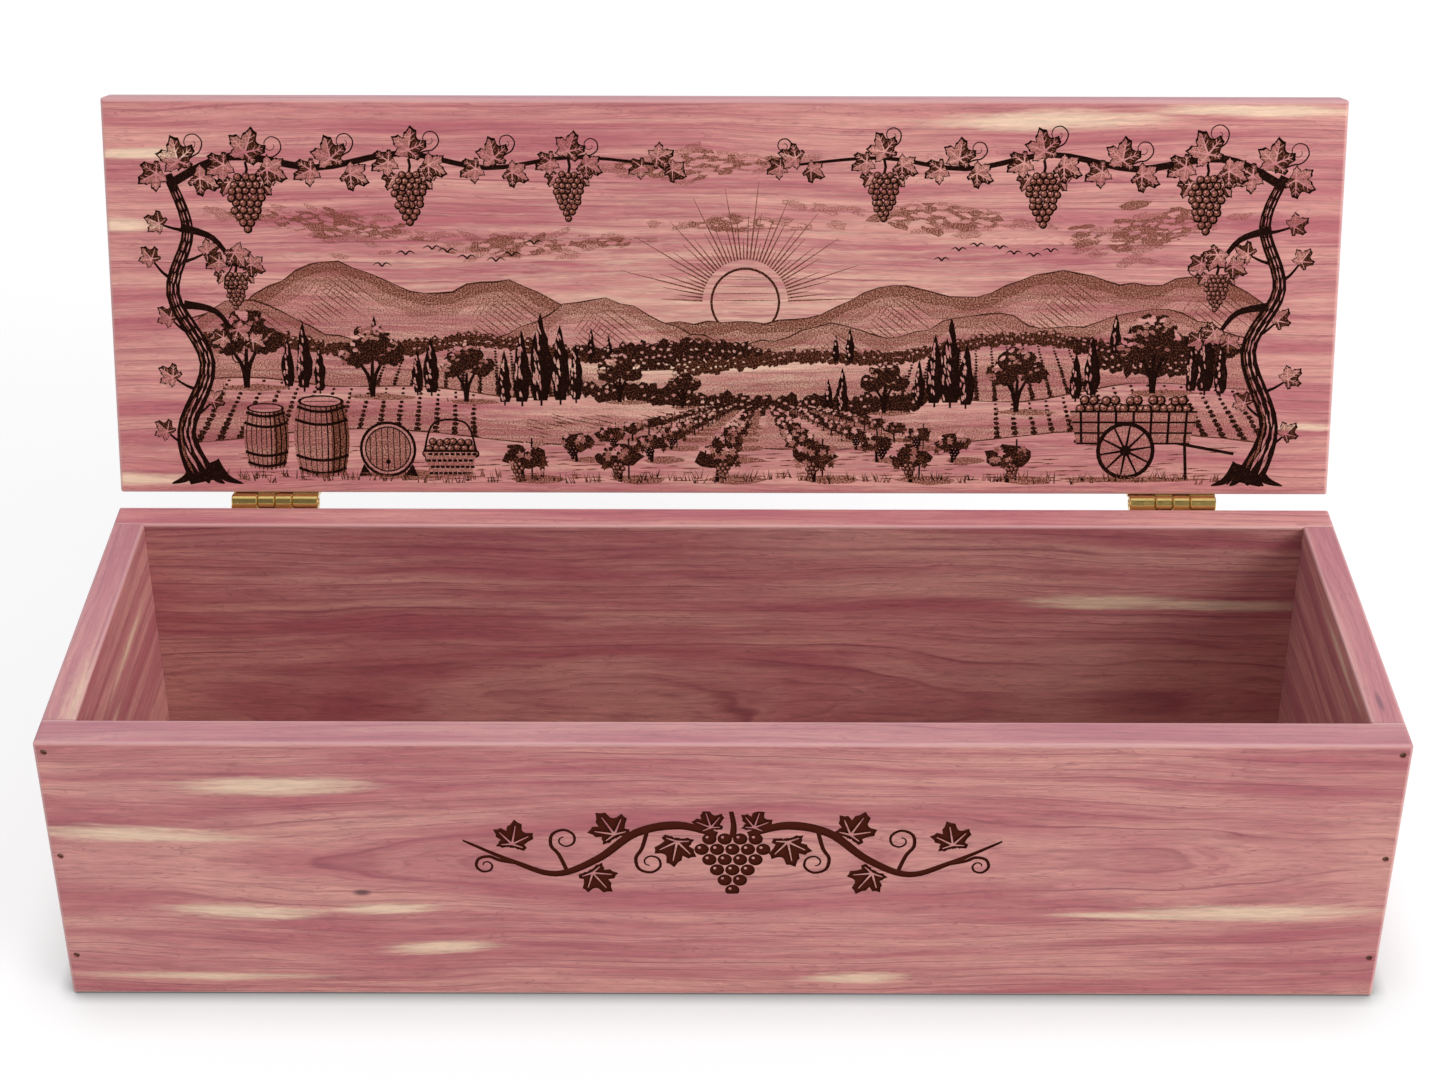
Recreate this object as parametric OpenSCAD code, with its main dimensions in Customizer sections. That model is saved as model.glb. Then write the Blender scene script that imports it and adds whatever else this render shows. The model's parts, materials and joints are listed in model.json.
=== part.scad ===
// Hinged wooden wine box: aromatic cedar boards butted together and bradded at
// the corners, a rebated bottom panel, and a flat lid on two small
// solid brass butt hinges screwed to the back.
// The origin is the centre of the underside. X runs along the box, the front
// faces -Y, and the lid is drawn at rest: open, leaning back on its stops.

/* [Box] */
// Length of the box along X
box_l = 350; // [300:1:420]
// Depth of the box, front to back
box_w = 115.5; // [100:0.5:150]
// Height of the four walls
box_h = 83.5; // [70:0.5:120]
// Thickness of the front and back boards
long_t = 10; // [8:0.5:14]
// Thickness of the two end boards
end_t = 9; // [8:0.5:14]
// Radius that the outside edges are sanded to
ease_r = 1.2; // [0.5:0.1:2]
// Radius of the inside edges of the rim
rim_r = 0.6; // [0.3:0.1:1]

/* [Bottom panel] */
// Thickness of the bottom panel, which is the depth of its rebate
bottom_t = 6; // [4:0.5:10]
// Width of the rebate cut into the foot of each wall
rebate_w = 5; // [3:0.5:6]
// Corner radius that the router leaves in the rebate
rebate_r = 6; // [4:0.5:12]
// Glue gap between the panel's edge and the rebate
rebate_gap = 0.2; // [0.1:0.05:0.5]

/* [Lid] */
// Thickness of the lid
lid_t = 10; // [9:0.5:14]
// How far the lid's front edge stands behind the front of the box
lid_reveal = 2; // [0:0.5:5]
// Daylight between the rim and the closed lid
lid_gap = 0.3; // [0.2:0.05:1]
// Angle from closed to open, where the hinges stop the lid
open_angle = 108; // [95:1:115]

/* [Hinges] */
// Length of each hinge
hinge_l = 25; // [22:0.5:40]
// Distance from the end of the box to the middle of a hinge
hinge_inset = 45; // [25:1:80]
// Length of the two outer knuckles
outer_knuckle_l = 7.5; // [6:0.25:9]
// Play between neighbouring knuckles
knuckle_play = 0.15; // [0.1:0.05:0.4]
// Outside diameter of the barrel
barrel_d = 4.8; // [4:0.1:6]
// Clearance between the barrel and the wood
barrel_gap = 0.2; // [0.15:0.05:0.5]
// Thickness of a leaf
leaf_t = 1.2; // [0.8:0.1:1.6]
// Height of a leaf from the pin's axis to its far edge
leaf_h = 8.6; // [8:0.1:9]
// Corner radius of a leaf
leaf_r = 0.8; // [0.4:0.1:1.5]
// Diameter of the hinge pin
pin_d = 2.4; // [1.8:0.1:2.8]
// Radial clearance of the pin in the knuckles
pin_fit = 0.03; // [0.02:0.01:0.08]
// How far the pin stands out of each end of the barrel
pin_proud = 0.2; // [0.1:0.05:0.5]
// Chamfer on the ends of the knuckles and of the pin
chamfer = 0.3; // [0.1:0.05:0.5]
// Length of the stop lug below the barrel
stop_l = 2.8; // [2:0.1:3.2]
// Width of the stop lug along the pin
stop_w = 4.5; // [2.5:0.5:4.5]
// Gap between the stop lug and the box leaf with the lid open
stop_gap = 0.05; // [0.02:0.01:0.2]

/* [Screws] */
// Distance from a leaf's end to the nearer screw
screw_inset = 4.8; // [4.2:0.1:5.2]
// Height of the screws from the pin's axis
screw_rise = 5.5; // [5:0.1:6]
// Shank diameter of a screw
screw_d = 2; // [1.6:0.1:2.2]
// Length of a screw under its head
screw_l = 8; // [5:0.5:8]
// Diameter of the countersunk head
screw_head_d = 3.6; // [3:0.1:4]
// Width of the driver slot
slot_w = 0.5; // [0.4:0.05:0.7]
// Depth of the driver slot
slot_depth = 0.5; // [0.3:0.05:0.7]
// Angle that the driver left the slots at, either way from level
slot_turn = 35; // [0:5:90]
// Radial clearance of a screw in its holes
screw_fit = 0.05; // [0.02:0.01:0.1]

/* [Brads] */
// Shank diameter of a brad
brad_d = 1.2; // [1:0.1:1.4]
// Length of a corner brad
brad_l = 25; // [18:1:32]
// Length of a bottom brad
bottom_brad_l = 16; // [12:1:20]
// Diameter of a brad's head
brad_head_d = 1.8; // [1.6:0.1:2.2]
// Thickness of a brad's head
brad_head_t = 0.6; // [0.4:0.1:1]
// How far the heads are set below the wood
brad_set = 0.7; // [0.3:0.1:1.2]
// Distance from the end of the box to the corner brads
brad_inset = 2.6; // [2.4:0.1:4.5]
// Height of the lowest corner brad
brad_low = 13.5; // [10:0.5:20]
// Distance from the rim down to the highest corner brad
brad_high = 3; // [2.8:0.1:15]
// Brads in each corner
brad_rows = 3; // [2:1:5]
// Brads along each long side of the bottom panel
bottom_brads_long = 4; // [2:1:8]
// Distance from the ends of the panel to its outermost long-side brads
bottom_brad_inset = 30; // [20:1:60]
// Distance between the two brads at each end of the panel
bottom_brad_pitch = 50; // [30:1:60]

/* [Hidden] */
$fn = 48;

half_l = box_l / 2;
half_w = box_w / 2;
LEFT = -1;
RIGHT = 1;
FRONT = -1;
BACK = 1;
beyond = 1;                                  // how far a cutter runs past the face that it cuts
screw_tip_d = 0.4;
screw_cone = (screw_head_d - screw_d) / 2;   // depth of the screw's countersunk head
brad_tip_d = 0.3;
lid_w = box_w - lid_reveal;
barrel_r = barrel_d / 2;
pin_y = half_w + barrel_gap + barrel_r;      // the barrel stands clear behind the back board
pin_z = box_h + lid_gap / 2;                 // half way up the lid's gap
inner_knuckle_l = hinge_l / 2 - outer_knuckle_l;
knuckle_edges = [-hinge_l / 2, -inner_knuckle_l, 0, inner_knuckle_l, hinge_l / 2];
BOX_KNUCKLES = [0, 2];                       // counted from the left end of the barrel
LID_KNUCKLES = [1, 3];
leaf_y = half_w - pin_y;                     // the leaves' wood side, seen from the pin
rebate_l = box_l - 2 * end_t + 2 * rebate_w;
rebate_d = box_w - 2 * long_t + 2 * rebate_w;

// ---------- helpers ----------

// Rectangle w by h about the origin, its corners rounded to r.
module rounded_rect(w, h, r) {
    square([w - 2 * r, h], center = true);
    square([w, h - 2 * r], center = true);
    for (x = [-1, 1], y = [-1, 1])
        translate([x * (w / 2 - r), y * (h / 2 - r)]) circle(r);
}

// Block l by w by h standing on z = 0, every edge rounded to r.
module eased_block(l, w, h, r) {
    translate([0, 0, h / 2])
    intersection() {
        linear_extrude(h, center = true) rounded_rect(l, w, r);
        rotate([90, 0, 0]) linear_extrude(w, center = true) rounded_rect(l, h, r);
        rotate([90, 0, 90]) linear_extrude(l, center = true) rounded_rect(w, h, r);
    }
}

// Opening w wide and box_h deep whose mouth flares over the rounded rim.
module flared_mouth(w) {
    difference() {
        translate([-w / 2 - rim_r, -beyond]) square([w + 2 * rim_r, box_h + 2 * beyond]);
        for (side = [-1, 1]) {
            translate([side * (w / 2 + rim_r), 0])
                square([2 * rim_r, 2 * (box_h - rim_r)], center = true);
            translate([side * (w / 2 + rim_r), box_h - rim_r]) circle(rim_r);
        }
    }
}

// Everything inside the walls, open at the top and the bottom.
module cavity() {
    intersection() {
        rotate([90, 0, 0])
            linear_extrude(box_w, center = true) flared_mouth(box_l - 2 * end_t);
        rotate([90, 0, 90])
            linear_extrude(box_l, center = true) flared_mouth(box_w - 2 * long_t);
    }
}

// Panel outline that fills the rebate, less a gap all round.
module panel_outline(gap) {
    rounded_rect(rebate_l - 2 * gap, rebate_d - 2 * gap, rebate_r - gap);
}

// The glued frame as it leaves the sander, before any nail or screw hole.
module frame() {
    difference() {
        eased_block(box_l, box_w, box_h, ease_r);
        translate([0, 0, -beyond]) linear_extrude(bottom_t + beyond) panel_outline(0);
        cavity();
    }
}

// ---------- places ----------

// Children at each corner brad on one side and end, drawn pointing inwards along +Z.
module at_corner_brads(side, end) {
    for (row = [0 : brad_rows - 1])
        translate([
            end * (half_l - brad_inset),
            side * half_w,
            brad_low + row * (box_h - brad_high - brad_low) / (brad_rows - 1)
        ])
            rotate([side * 90, 0, 0]) children();
}

// Children at each brad that goes up through the bottom panel.
module at_bottom_brads() {
    long_y = rebate_d / 2 - rebate_w / 2;
    end_x = rebate_l / 2 - rebate_w / 2;
    span = rebate_l - 2 * bottom_brad_inset;
    for (side = [-1, 1], i = [0 : bottom_brads_long - 1])
        translate([-span / 2 + i * span / (bottom_brads_long - 1), side * long_y, 0])
            children();
    for (end = [-1, 1], y = [-0.5, 0.5])
        translate([end * end_x, y * bottom_brad_pitch, 0]) children();
}

// Children with the origin on the pin's axis, in the middle of one hinge.
module at_hinge(end) {
    translate([end * (half_l - hinge_inset), pin_y, pin_z]) children();
}

// Children drawn closed, swung to where the open lid rests.
module swung_open() {
    translate([0, pin_y, pin_z])
        rotate([-open_angle, 0, 0])
            translate([0, -pin_y, -pin_z]) children();
}

// Children at the two screws of a leaf, head outwards along +Z.
// up is 1 for the lid leaf above the pin and -1 for the box leaf below it.
module at_leaf_screws(end, up) {
    at_hinge(end)
        for (x = [-1, 1])
            translate([x * (hinge_l / 2 - screw_inset), leaf_y + leaf_t, up * screw_rise])
                rotate([-90, x * slot_turn, 0]) children();
}

// ---------- brads and screws ----------

// Solid turned about Z. The profile's points are [radius, height], from the axis to the axis.
module turned(profile) {
    rotate_extrude() polygon(profile);
}

// Brad pointing along +Z, its head brad_set below the surface at z = 0.
module brad(length) {
    neck = brad_set + brad_head_t;
    tip = brad_set + length;
    turned([
        [0, brad_set], [brad_head_d / 2, brad_set], [brad_head_d / 2, neck],
        [brad_d / 2, neck], [brad_d / 2, tip - brad_d], [brad_tip_d / 2, tip], [0, tip]
    ]);
}

// The hole that a brad of this length has made.
module brad_hole(length) {
    neck = brad_set + brad_head_t;
    tip = brad_set + length;
    turned([
        [0, -beyond], [brad_head_d / 2, -beyond], [brad_head_d / 2, neck],
        [brad_d / 2, neck], [brad_d / 2, tip], [0, tip]
    ]);
}

// Slotted countersunk screw, its flat head level with z = 0, its point along -Z.
module screw() {
    difference() {
        turned([
            [0, -screw_l], [screw_tip_d / 2, -screw_l], [screw_d / 2, screw_d - screw_l],
            [screw_d / 2, -screw_cone], [screw_head_d / 2, 0], [0, 0]
        ]);
        translate([-screw_head_d, -slot_w / 2, -slot_depth])
            cube([2 * screw_head_d, slot_w, slot_depth + beyond]);
    }
}

// The hole that a screw has cut in the wood behind a leaf.
module pilot_hole() {
    translate([0, 0, -screw_l - screw_fit])
        cylinder(h = screw_l + beyond, d = screw_d + 2 * screw_fit);
}

// Countersunk hole through a leaf for a screw.
module screw_hole() {
    shank = screw_d / 2 + screw_fit;
    head = screw_head_d / 2 + screw_fit;
    turned([
        [0, -screw_l], [shank, -screw_l], [shank, -screw_cone],
        [head, 0], [head, beyond], [0, beyond]
    ]);
}

// ---------- boards ----------

module long_board(side) {
    difference() {
        intersection() {
            frame();
            translate([0, side * half_w, 0]) cube([3 * half_l, 2 * long_t, 3 * box_h], center = true);
        }
        for (end = [LEFT, RIGHT]) at_corner_brads(side, end) brad_hole(brad_l);
        at_bottom_brads() brad_hole(bottom_brad_l);
        if (side == BACK)
            for (end = [LEFT, RIGHT]) at_leaf_screws(end, -1) pilot_hole();
    }
}

module end_board(end) {
    difference() {
        intersection() {
            frame();
            translate([end * half_l, 0, 0])
                cube([2 * end_t, box_w - 2 * long_t, 3 * box_h], center = true);
        }
        for (side = [FRONT, BACK]) at_corner_brads(side, end) brad_hole(brad_l);
        at_bottom_brads() brad_hole(bottom_brad_l);
    }
}

module front_board() { color("#B9747A") long_board(FRONT); }
module back_board() { color("#B9747A") long_board(BACK); }
module left_end_board() { color("#C08086") end_board(LEFT); }
module right_end_board() { color("#C08086") end_board(RIGHT); }

module bottom_board() {
    color("#B9747A")
    difference() {
        linear_extrude(bottom_t) panel_outline(rebate_gap);
        at_bottom_brads() brad_hole(bottom_brad_l);
    }
}

module lid_board() {
    color("#BE7A7E")
    swung_open()
    difference() {
        translate([0, half_w - lid_w / 2, box_h + lid_gap])
            eased_block(box_l, lid_w, lid_t, ease_r);
        for (end = [LEFT, RIGHT]) at_leaf_screws(end, 1) pilot_hole();
    }
}

// ---------- hinges ----------

// Where knuckle k starts and ends along the pin. Play is left only between knuckles.
function knuckle_low(k) = knuckle_edges[k] + (k == 0 ? 0 : knuckle_play / 2);
function knuckle_high(k) = knuckle_edges[k + 1] - (k == 3 ? 0 : knuckle_play / 2);

// Round bar of radius r along X from x = low to x = high, its ends chamfered.
module chamfered_bar(low, high, r) {
    rotate([0, 90, 0])
        turned([
            [0, low], [r - chamfer, low], [r, low + chamfer],
            [r, high - chamfer], [r - chamfer, high], [0, high]
        ]);
}

// Room in a leaf's plate for the other leaf's knuckle k.
module notch(k) {
    low = k == 0 ? -hinge_l / 2 - beyond : knuckle_edges[k] - knuckle_play / 2;
    high = k == 3 ? hinge_l / 2 + beyond : knuckle_edges[k + 1] + knuckle_play / 2;
    reach = barrel_r + barrel_gap;
    translate([low, leaf_y - beyond, -reach])
        cube([high - low, leaf_t + 2 * beyond, 2 * reach]);
}

module pin_bore() {
    rotate([0, 90, 0])
        cylinder(h = hinge_l + 2 * beyond, d = pin_d + 2 * pin_fit, center = true);
}

// One leaf about the pin's axis, its plate below the pin (up = -1) or above it (up = 1).
module leaf(up, own, other) {
    difference() {
        union() {
            translate([0, leaf_y + leaf_t, up * leaf_h / 2])
                rotate([90, 0, 0])
                    linear_extrude(leaf_t) rounded_rect(hinge_l, leaf_h, leaf_r);
            translate([-hinge_l / 2, leaf_y, up > 0 ? 0 : -leaf_r])
                cube([hinge_l, leaf_t, leaf_r]);
            for (k = own) chamfered_bar(knuckle_low(k), knuckle_high(k), barrel_r);
        }
        for (k = other) notch(k);
        pin_bore();
    }
}

// Lug under a lid knuckle. With the lid open it hangs straight down against the box leaf.
module stop_lug() {
    k = LID_KNUCKLES[0];
    width = min(stop_w, knuckle_high(k) - knuckle_low(k));
    difference() {
        rotate([open_angle, 0, 0])
            translate([knuckle_high(k) - width, leaf_y + leaf_t + stop_gap, -barrel_r - stop_l])
                cube([width, leaf_t, barrel_r + stop_l]);
        pin_bore();
    }
}

module box_leaf(end) {
    color("#C9A24B")
    difference() {
        at_hinge(end) leaf(-1, BOX_KNUCKLES, LID_KNUCKLES);
        at_leaf_screws(end, -1) screw_hole();
    }
}

module lid_leaf(end) {
    color("#C9A24B")
    swung_open()
    difference() {
        at_hinge(end) {
            leaf(1, LID_KNUCKLES, BOX_KNUCKLES);
            stop_lug();
        }
        at_leaf_screws(end, 1) screw_hole();
    }
}

module hinge_pin(end) {
    reach = hinge_l / 2 + pin_proud;
    color("#D8B35E")
    at_hinge(end) chamfered_bar(-reach, reach, pin_d / 2);
}

module left_box_leaf() { box_leaf(LEFT); }
module right_box_leaf() { box_leaf(RIGHT); }
module left_lid_leaf() { lid_leaf(LEFT); }
module right_lid_leaf() { lid_leaf(RIGHT); }
module left_hinge_pin() { hinge_pin(LEFT); }
module right_hinge_pin() { hinge_pin(RIGHT); }

module box_leaf_screws(end) { color("#D1AA55") at_leaf_screws(end, -1) screw(); }
module lid_leaf_screws(end) { color("#D1AA55") swung_open() at_leaf_screws(end, 1) screw(); }
module corner_brads(side, end) { color("#8E8780") at_corner_brads(side, end) brad(brad_l); }

front_board();
back_board();
left_end_board();
right_end_board();
bottom_board();
lid_board();
left_box_leaf();
left_lid_leaf();
left_hinge_pin();
box_leaf_screws(LEFT);  // left_box_leaf_screws
lid_leaf_screws(LEFT);  // left_lid_leaf_screws
right_box_leaf();
right_lid_leaf();
right_hinge_pin();
box_leaf_screws(RIGHT);  // right_box_leaf_screws
lid_leaf_screws(RIGHT);  // right_lid_leaf_screws
corner_brads(FRONT, LEFT);  // front_left_brads
corner_brads(FRONT, RIGHT);  // front_right_brads
corner_brads(BACK, LEFT);  // back_left_brads
corner_brads(BACK, RIGHT);  // back_right_brads
color("#8E8780") at_bottom_brads() brad(bottom_brad_l);  // bottom_brads
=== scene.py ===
"""Finish and studio for a hinged wine box of aromatic cedar.

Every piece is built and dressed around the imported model, in its frame: metres, +Z up, the origin
at the centre of the underside, and the lid at rest wide open. Sizes in the code are millimetres
unless a name says otherwise, and MM turns them to metres.
"""

import functools
import json
import math
import random

import bmesh
import bpy
import numpy as np
from bpy.props import FloatProperty, FloatVectorProperty, PointerProperty
from mathutils import Euler, Matrix, Vector
from mathutils.geometry import delaunay_2d_cdt


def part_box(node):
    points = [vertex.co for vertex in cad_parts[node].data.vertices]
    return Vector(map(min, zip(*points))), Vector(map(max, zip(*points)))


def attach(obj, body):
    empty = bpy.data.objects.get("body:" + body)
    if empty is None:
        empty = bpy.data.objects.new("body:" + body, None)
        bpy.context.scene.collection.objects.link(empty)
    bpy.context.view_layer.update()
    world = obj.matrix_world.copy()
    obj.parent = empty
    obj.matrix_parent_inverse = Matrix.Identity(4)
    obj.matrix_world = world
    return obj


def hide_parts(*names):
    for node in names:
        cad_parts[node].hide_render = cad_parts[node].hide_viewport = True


bl_info = {
    "name": "Cedar Wine Box",
    "version": (1, 0, 0),
    "blender": (4, 5, 0),
    "location": "View3D > Sidebar > Wine Box",
    "description": "Dresses a hinged cedar wine box and sets up its studio",
    "category": "Object",
}

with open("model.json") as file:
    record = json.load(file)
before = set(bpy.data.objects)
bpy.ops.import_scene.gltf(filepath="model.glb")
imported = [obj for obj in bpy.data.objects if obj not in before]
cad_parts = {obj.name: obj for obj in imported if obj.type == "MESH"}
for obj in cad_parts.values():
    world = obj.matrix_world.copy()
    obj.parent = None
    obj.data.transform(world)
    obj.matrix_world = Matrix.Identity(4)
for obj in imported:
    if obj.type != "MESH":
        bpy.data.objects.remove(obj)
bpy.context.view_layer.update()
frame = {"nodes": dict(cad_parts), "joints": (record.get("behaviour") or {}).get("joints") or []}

MM = 0.001
FACE_TOLERANCE = 0.003  # mm off a plane that still counts as on it


def corners(node):
    """The lowest and highest corner of a CAD node at rest, in mm."""
    low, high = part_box(node)
    return low / MM, high / MM


# ---------------------------------------------------------------- sizes from the frame

BACK_LOW, BACK_HIGH = corners("back_board")
FRONT_LOW, FRONT_HIGH = corners("front_board")
LEFT_LOW, LEFT_HIGH = corners("left_end_board")
RIGHT_LOW, RIGHT_HIGH = corners("right_end_board")
BOTTOM_LOW, BOTTOM_HIGH = corners("bottom_board")
LID_LOW, LID_HIGH = corners("lid_board")
BOX_L = FRONT_HIGH.x - FRONT_LOW.x
BOX_H = FRONT_HIGH.z
BOARD_T = FRONT_HIGH.y - FRONT_LOW.y
END_T = LEFT_HIGH.x - LEFT_LOW.x
HINGE = frame["joints"][0]
PIN = Vector(HINGE["pos_m"]) / MM
OPEN_ANGLE = math.radians(HINGE["range_deg"][1])
# The open lid is as tall and as deep as its two sides are, turned by the open angle.
LID_SPAN_Y = LID_HIGH.y - LID_LOW.y
LID_SPAN_Z = LID_HIGH.z - LID_LOW.z


def closed_lid_size():
    """The lid's width from hinge edge to front edge and its thickness, from its box at rest."""
    c, s = abs(math.cos(OPEN_ANGLE)), abs(math.sin(OPEN_ANGLE))
    across = (LID_SPAN_Z * s - LID_SPAN_Y * c) / (s * s - c * c)
    through = (LID_SPAN_Y * s - LID_SPAN_Z * c) / (s * s - c * c)
    return across, through


# ---------------------------------------------------------------- settings


def srgb(code):
    """A six-digit sRGB hex colour as linear red, green and blue."""
    parts = (int(code[i : i + 2], 16) / 255 for i in (0, 2, 4))
    return tuple(p / 12.92 if p <= 0.04045 else ((p + 0.055) / 1.055) ** 2.4 for p in parts)


def colour(name, code, description):
    """A colour property whose default is an sRGB hex value."""
    return FloatVectorProperty(
        name=name, description=description, default=srgb(code),
        size=3, min=0.0, max=1.0, subtype="COLOR",
    )


class CedarSettings(bpy.types.PropertyGroup):
    """Aromatic red cedar, sanded and left bare."""

    salmon: colour("Salmon", "D1958A", "Pale heartwood between the growth rings")
    rose: colour("Rose", "B06168", "Redder bands of heartwood")
    latewood: colour("Latewood", "8C4450", "Dark mauve line at the end of each ring")
    sapwood: colour("Sapwood", "E6CBAE", "Cream streaks of sapwood")
    knot: colour("Knot", "552730", "Heart of a knot")
    # A painted sheen: the rims on top of the boards are tinted paler and lilac for the light they catch.
    rim: colour("Rim", "DEA8B6", "Edges of the boards, sanded level after they were joined")
    # Wear and a painted highlight: the eased edges are paler where they are worn and where they catch the
    # light.
    wear_and_highlight: colour("Worn edge", "E2B3AE", "Bare, burnished wood along the eased edges")


class BurnSettings(bpy.types.PropertyGroup):
    """Picture and ornament burnt into the wood."""

    scorch: colour("Scorch", "7C4630", "Lightly scorched wood")
    char: colour("Char", "1A0602", "Burnt lines of the picture")
    floor: colour("Engraved floor", "46190D", "Brown floor of the ornament, burnt evenly")


class BrassSettings(bpy.types.PropertyGroup):
    """Polished brass hinges and their screws."""

    brass: colour("Brass", "DDBE7A", "Polished yellow brass")
    roughness: FloatProperty(
        name="Roughness", description="Of the polished barrel", default=0.16, min=0.0, max=1.0,
        subtype="FACTOR",
    )


class StudioSettings(bpy.types.PropertyGroup):
    """Camera, floor and lamps."""

    lens: FloatProperty(
        name="Lens", description="Focal length on a 36 mm wide frame", default=66.79,
        min=10.0, max=300.0, unit="CAMERA",
    )
    key_power: FloatProperty(
        name="Key lamp", description="Power of the large lamp at the right of the front",
        default=47.0, min=0.0, max=200.0, unit="POWER",
    )
    sky: FloatProperty(
        name="Sky", description="Strength of the white surroundings", default=0.88,
        min=0.0, max=2.0, subtype="FACTOR",
    )


# ---------------------------------------------------------------- nodes


# A map range takes its value, the two ends it comes from and the two it goes to, and here eases
# between them. A mix of colours takes its share at 0, the colour under it at 6 and over it at 7.
SMOOTH = {"interpolation_type": "SMOOTHSTEP"}
COLOURS = {"data_type": "RGBA", "out": 2}


def add_node(tree, kind, inputs=(), out=0, **settings):
    """Adds one shader node, with its settings, and its inputs set or linked. Gives one output.

    The inputs are a dict by name or number, or a list in the node's own order.
    """
    node = tree.nodes.new("ShaderNode" + kind)
    for name, value in settings.items():
        setattr(node, name, value)
    for name, value in inputs.items() if isinstance(inputs, dict) else enumerate(inputs):
        if isinstance(value, bpy.types.NodeSocket):
            tree.links.new(value, node.inputs[name])
        else:
            node.inputs[name].default_value = value
    return node.outputs[out] if len(node.outputs) else node


def new_material(name):
    """An empty node material, and a short name for adding nodes to it."""
    material = bpy.data.materials.new(name)
    material.use_nodes = True
    material.node_tree.nodes.clear()
    return material, functools.partial(add_node, material.node_tree)


def opaque(value):
    """A colour with full alpha, for a node's socket."""
    return (*value, 1.0)


# ---------------------------------------------------------------- cedar


class Board:
    """Where a board's grain lies: x along the grain, y into the board from its show face, z across."""

    def __init__(self, place, turn, size, pith, streaks, seed, knots=(), light=1.0, rim=(0.3, 1.0),
                 free_end=None):
        self.place = place        # of the board's own origin, in the frame, in mm
        self.turn = turn          # of the board's own axes, about x, y and z, in radians
        self.size = size          # lowest and highest corner in its own axes, in mm
        self.pith = pith          # where the rings' centre lies: x, depth, z, and its bow in 1/mm
        self.streaks = streaks    # sapwood: x, z, half length, half width, strength
        self.knots = knots        # x, depth, z, half length, half width
        self.seed = seed          # boards with other seeds have other grain
        self.light = light        # how light its faces are beside the other boards, partly painted light and shade for how well each board is lit
        self.rim = rim            # how far its edge faces go to their paler painted sheen, and how much light is painted on them
        self.free_end = free_end  # depths between which its ends open to wear, None if they are joined

    def matrix(self):
        """From the board's own axes, in mm, to the frame, in mm."""
        return Matrix.Translation(self.place) @ Euler(self.turn).to_matrix().to_4x4()


RING_PITCH = 2.2          # mm between growth rings
BOW_LIMIT = 7.0           # mm that the pith bows away at most, so that the ends have straight grain
FIBRE_PITCH = 0.42        # mm between fibres, drawn coarser than the real 0.05 mm so that it shows
FIBRE_LENGTH = 16.0       # mm
CURL_PITCH = 1.3          # mm, the small curls that a sander raises
SPECK_PITCH = 0.42        # mm between the dots of the laser
RELIEF = 0.12             # mm of the fibres' height
FUZZ = 0.12               # raised fibres of sanded, unvarnished wood, which pale it when seen aslant
EDGE_WEAR_AND_HIGHLIGHT = 1.5           # mm in from an edge that wear and its painted highlight reach
SEAM = 0.35               # mm of shade along a joint
RIM_SHEEN_START, RIM_SHEEN_FULL = -0.5, -0.1    # mm: the painted sheen of the edge faces sets in between these, where 0 is its face


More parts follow.
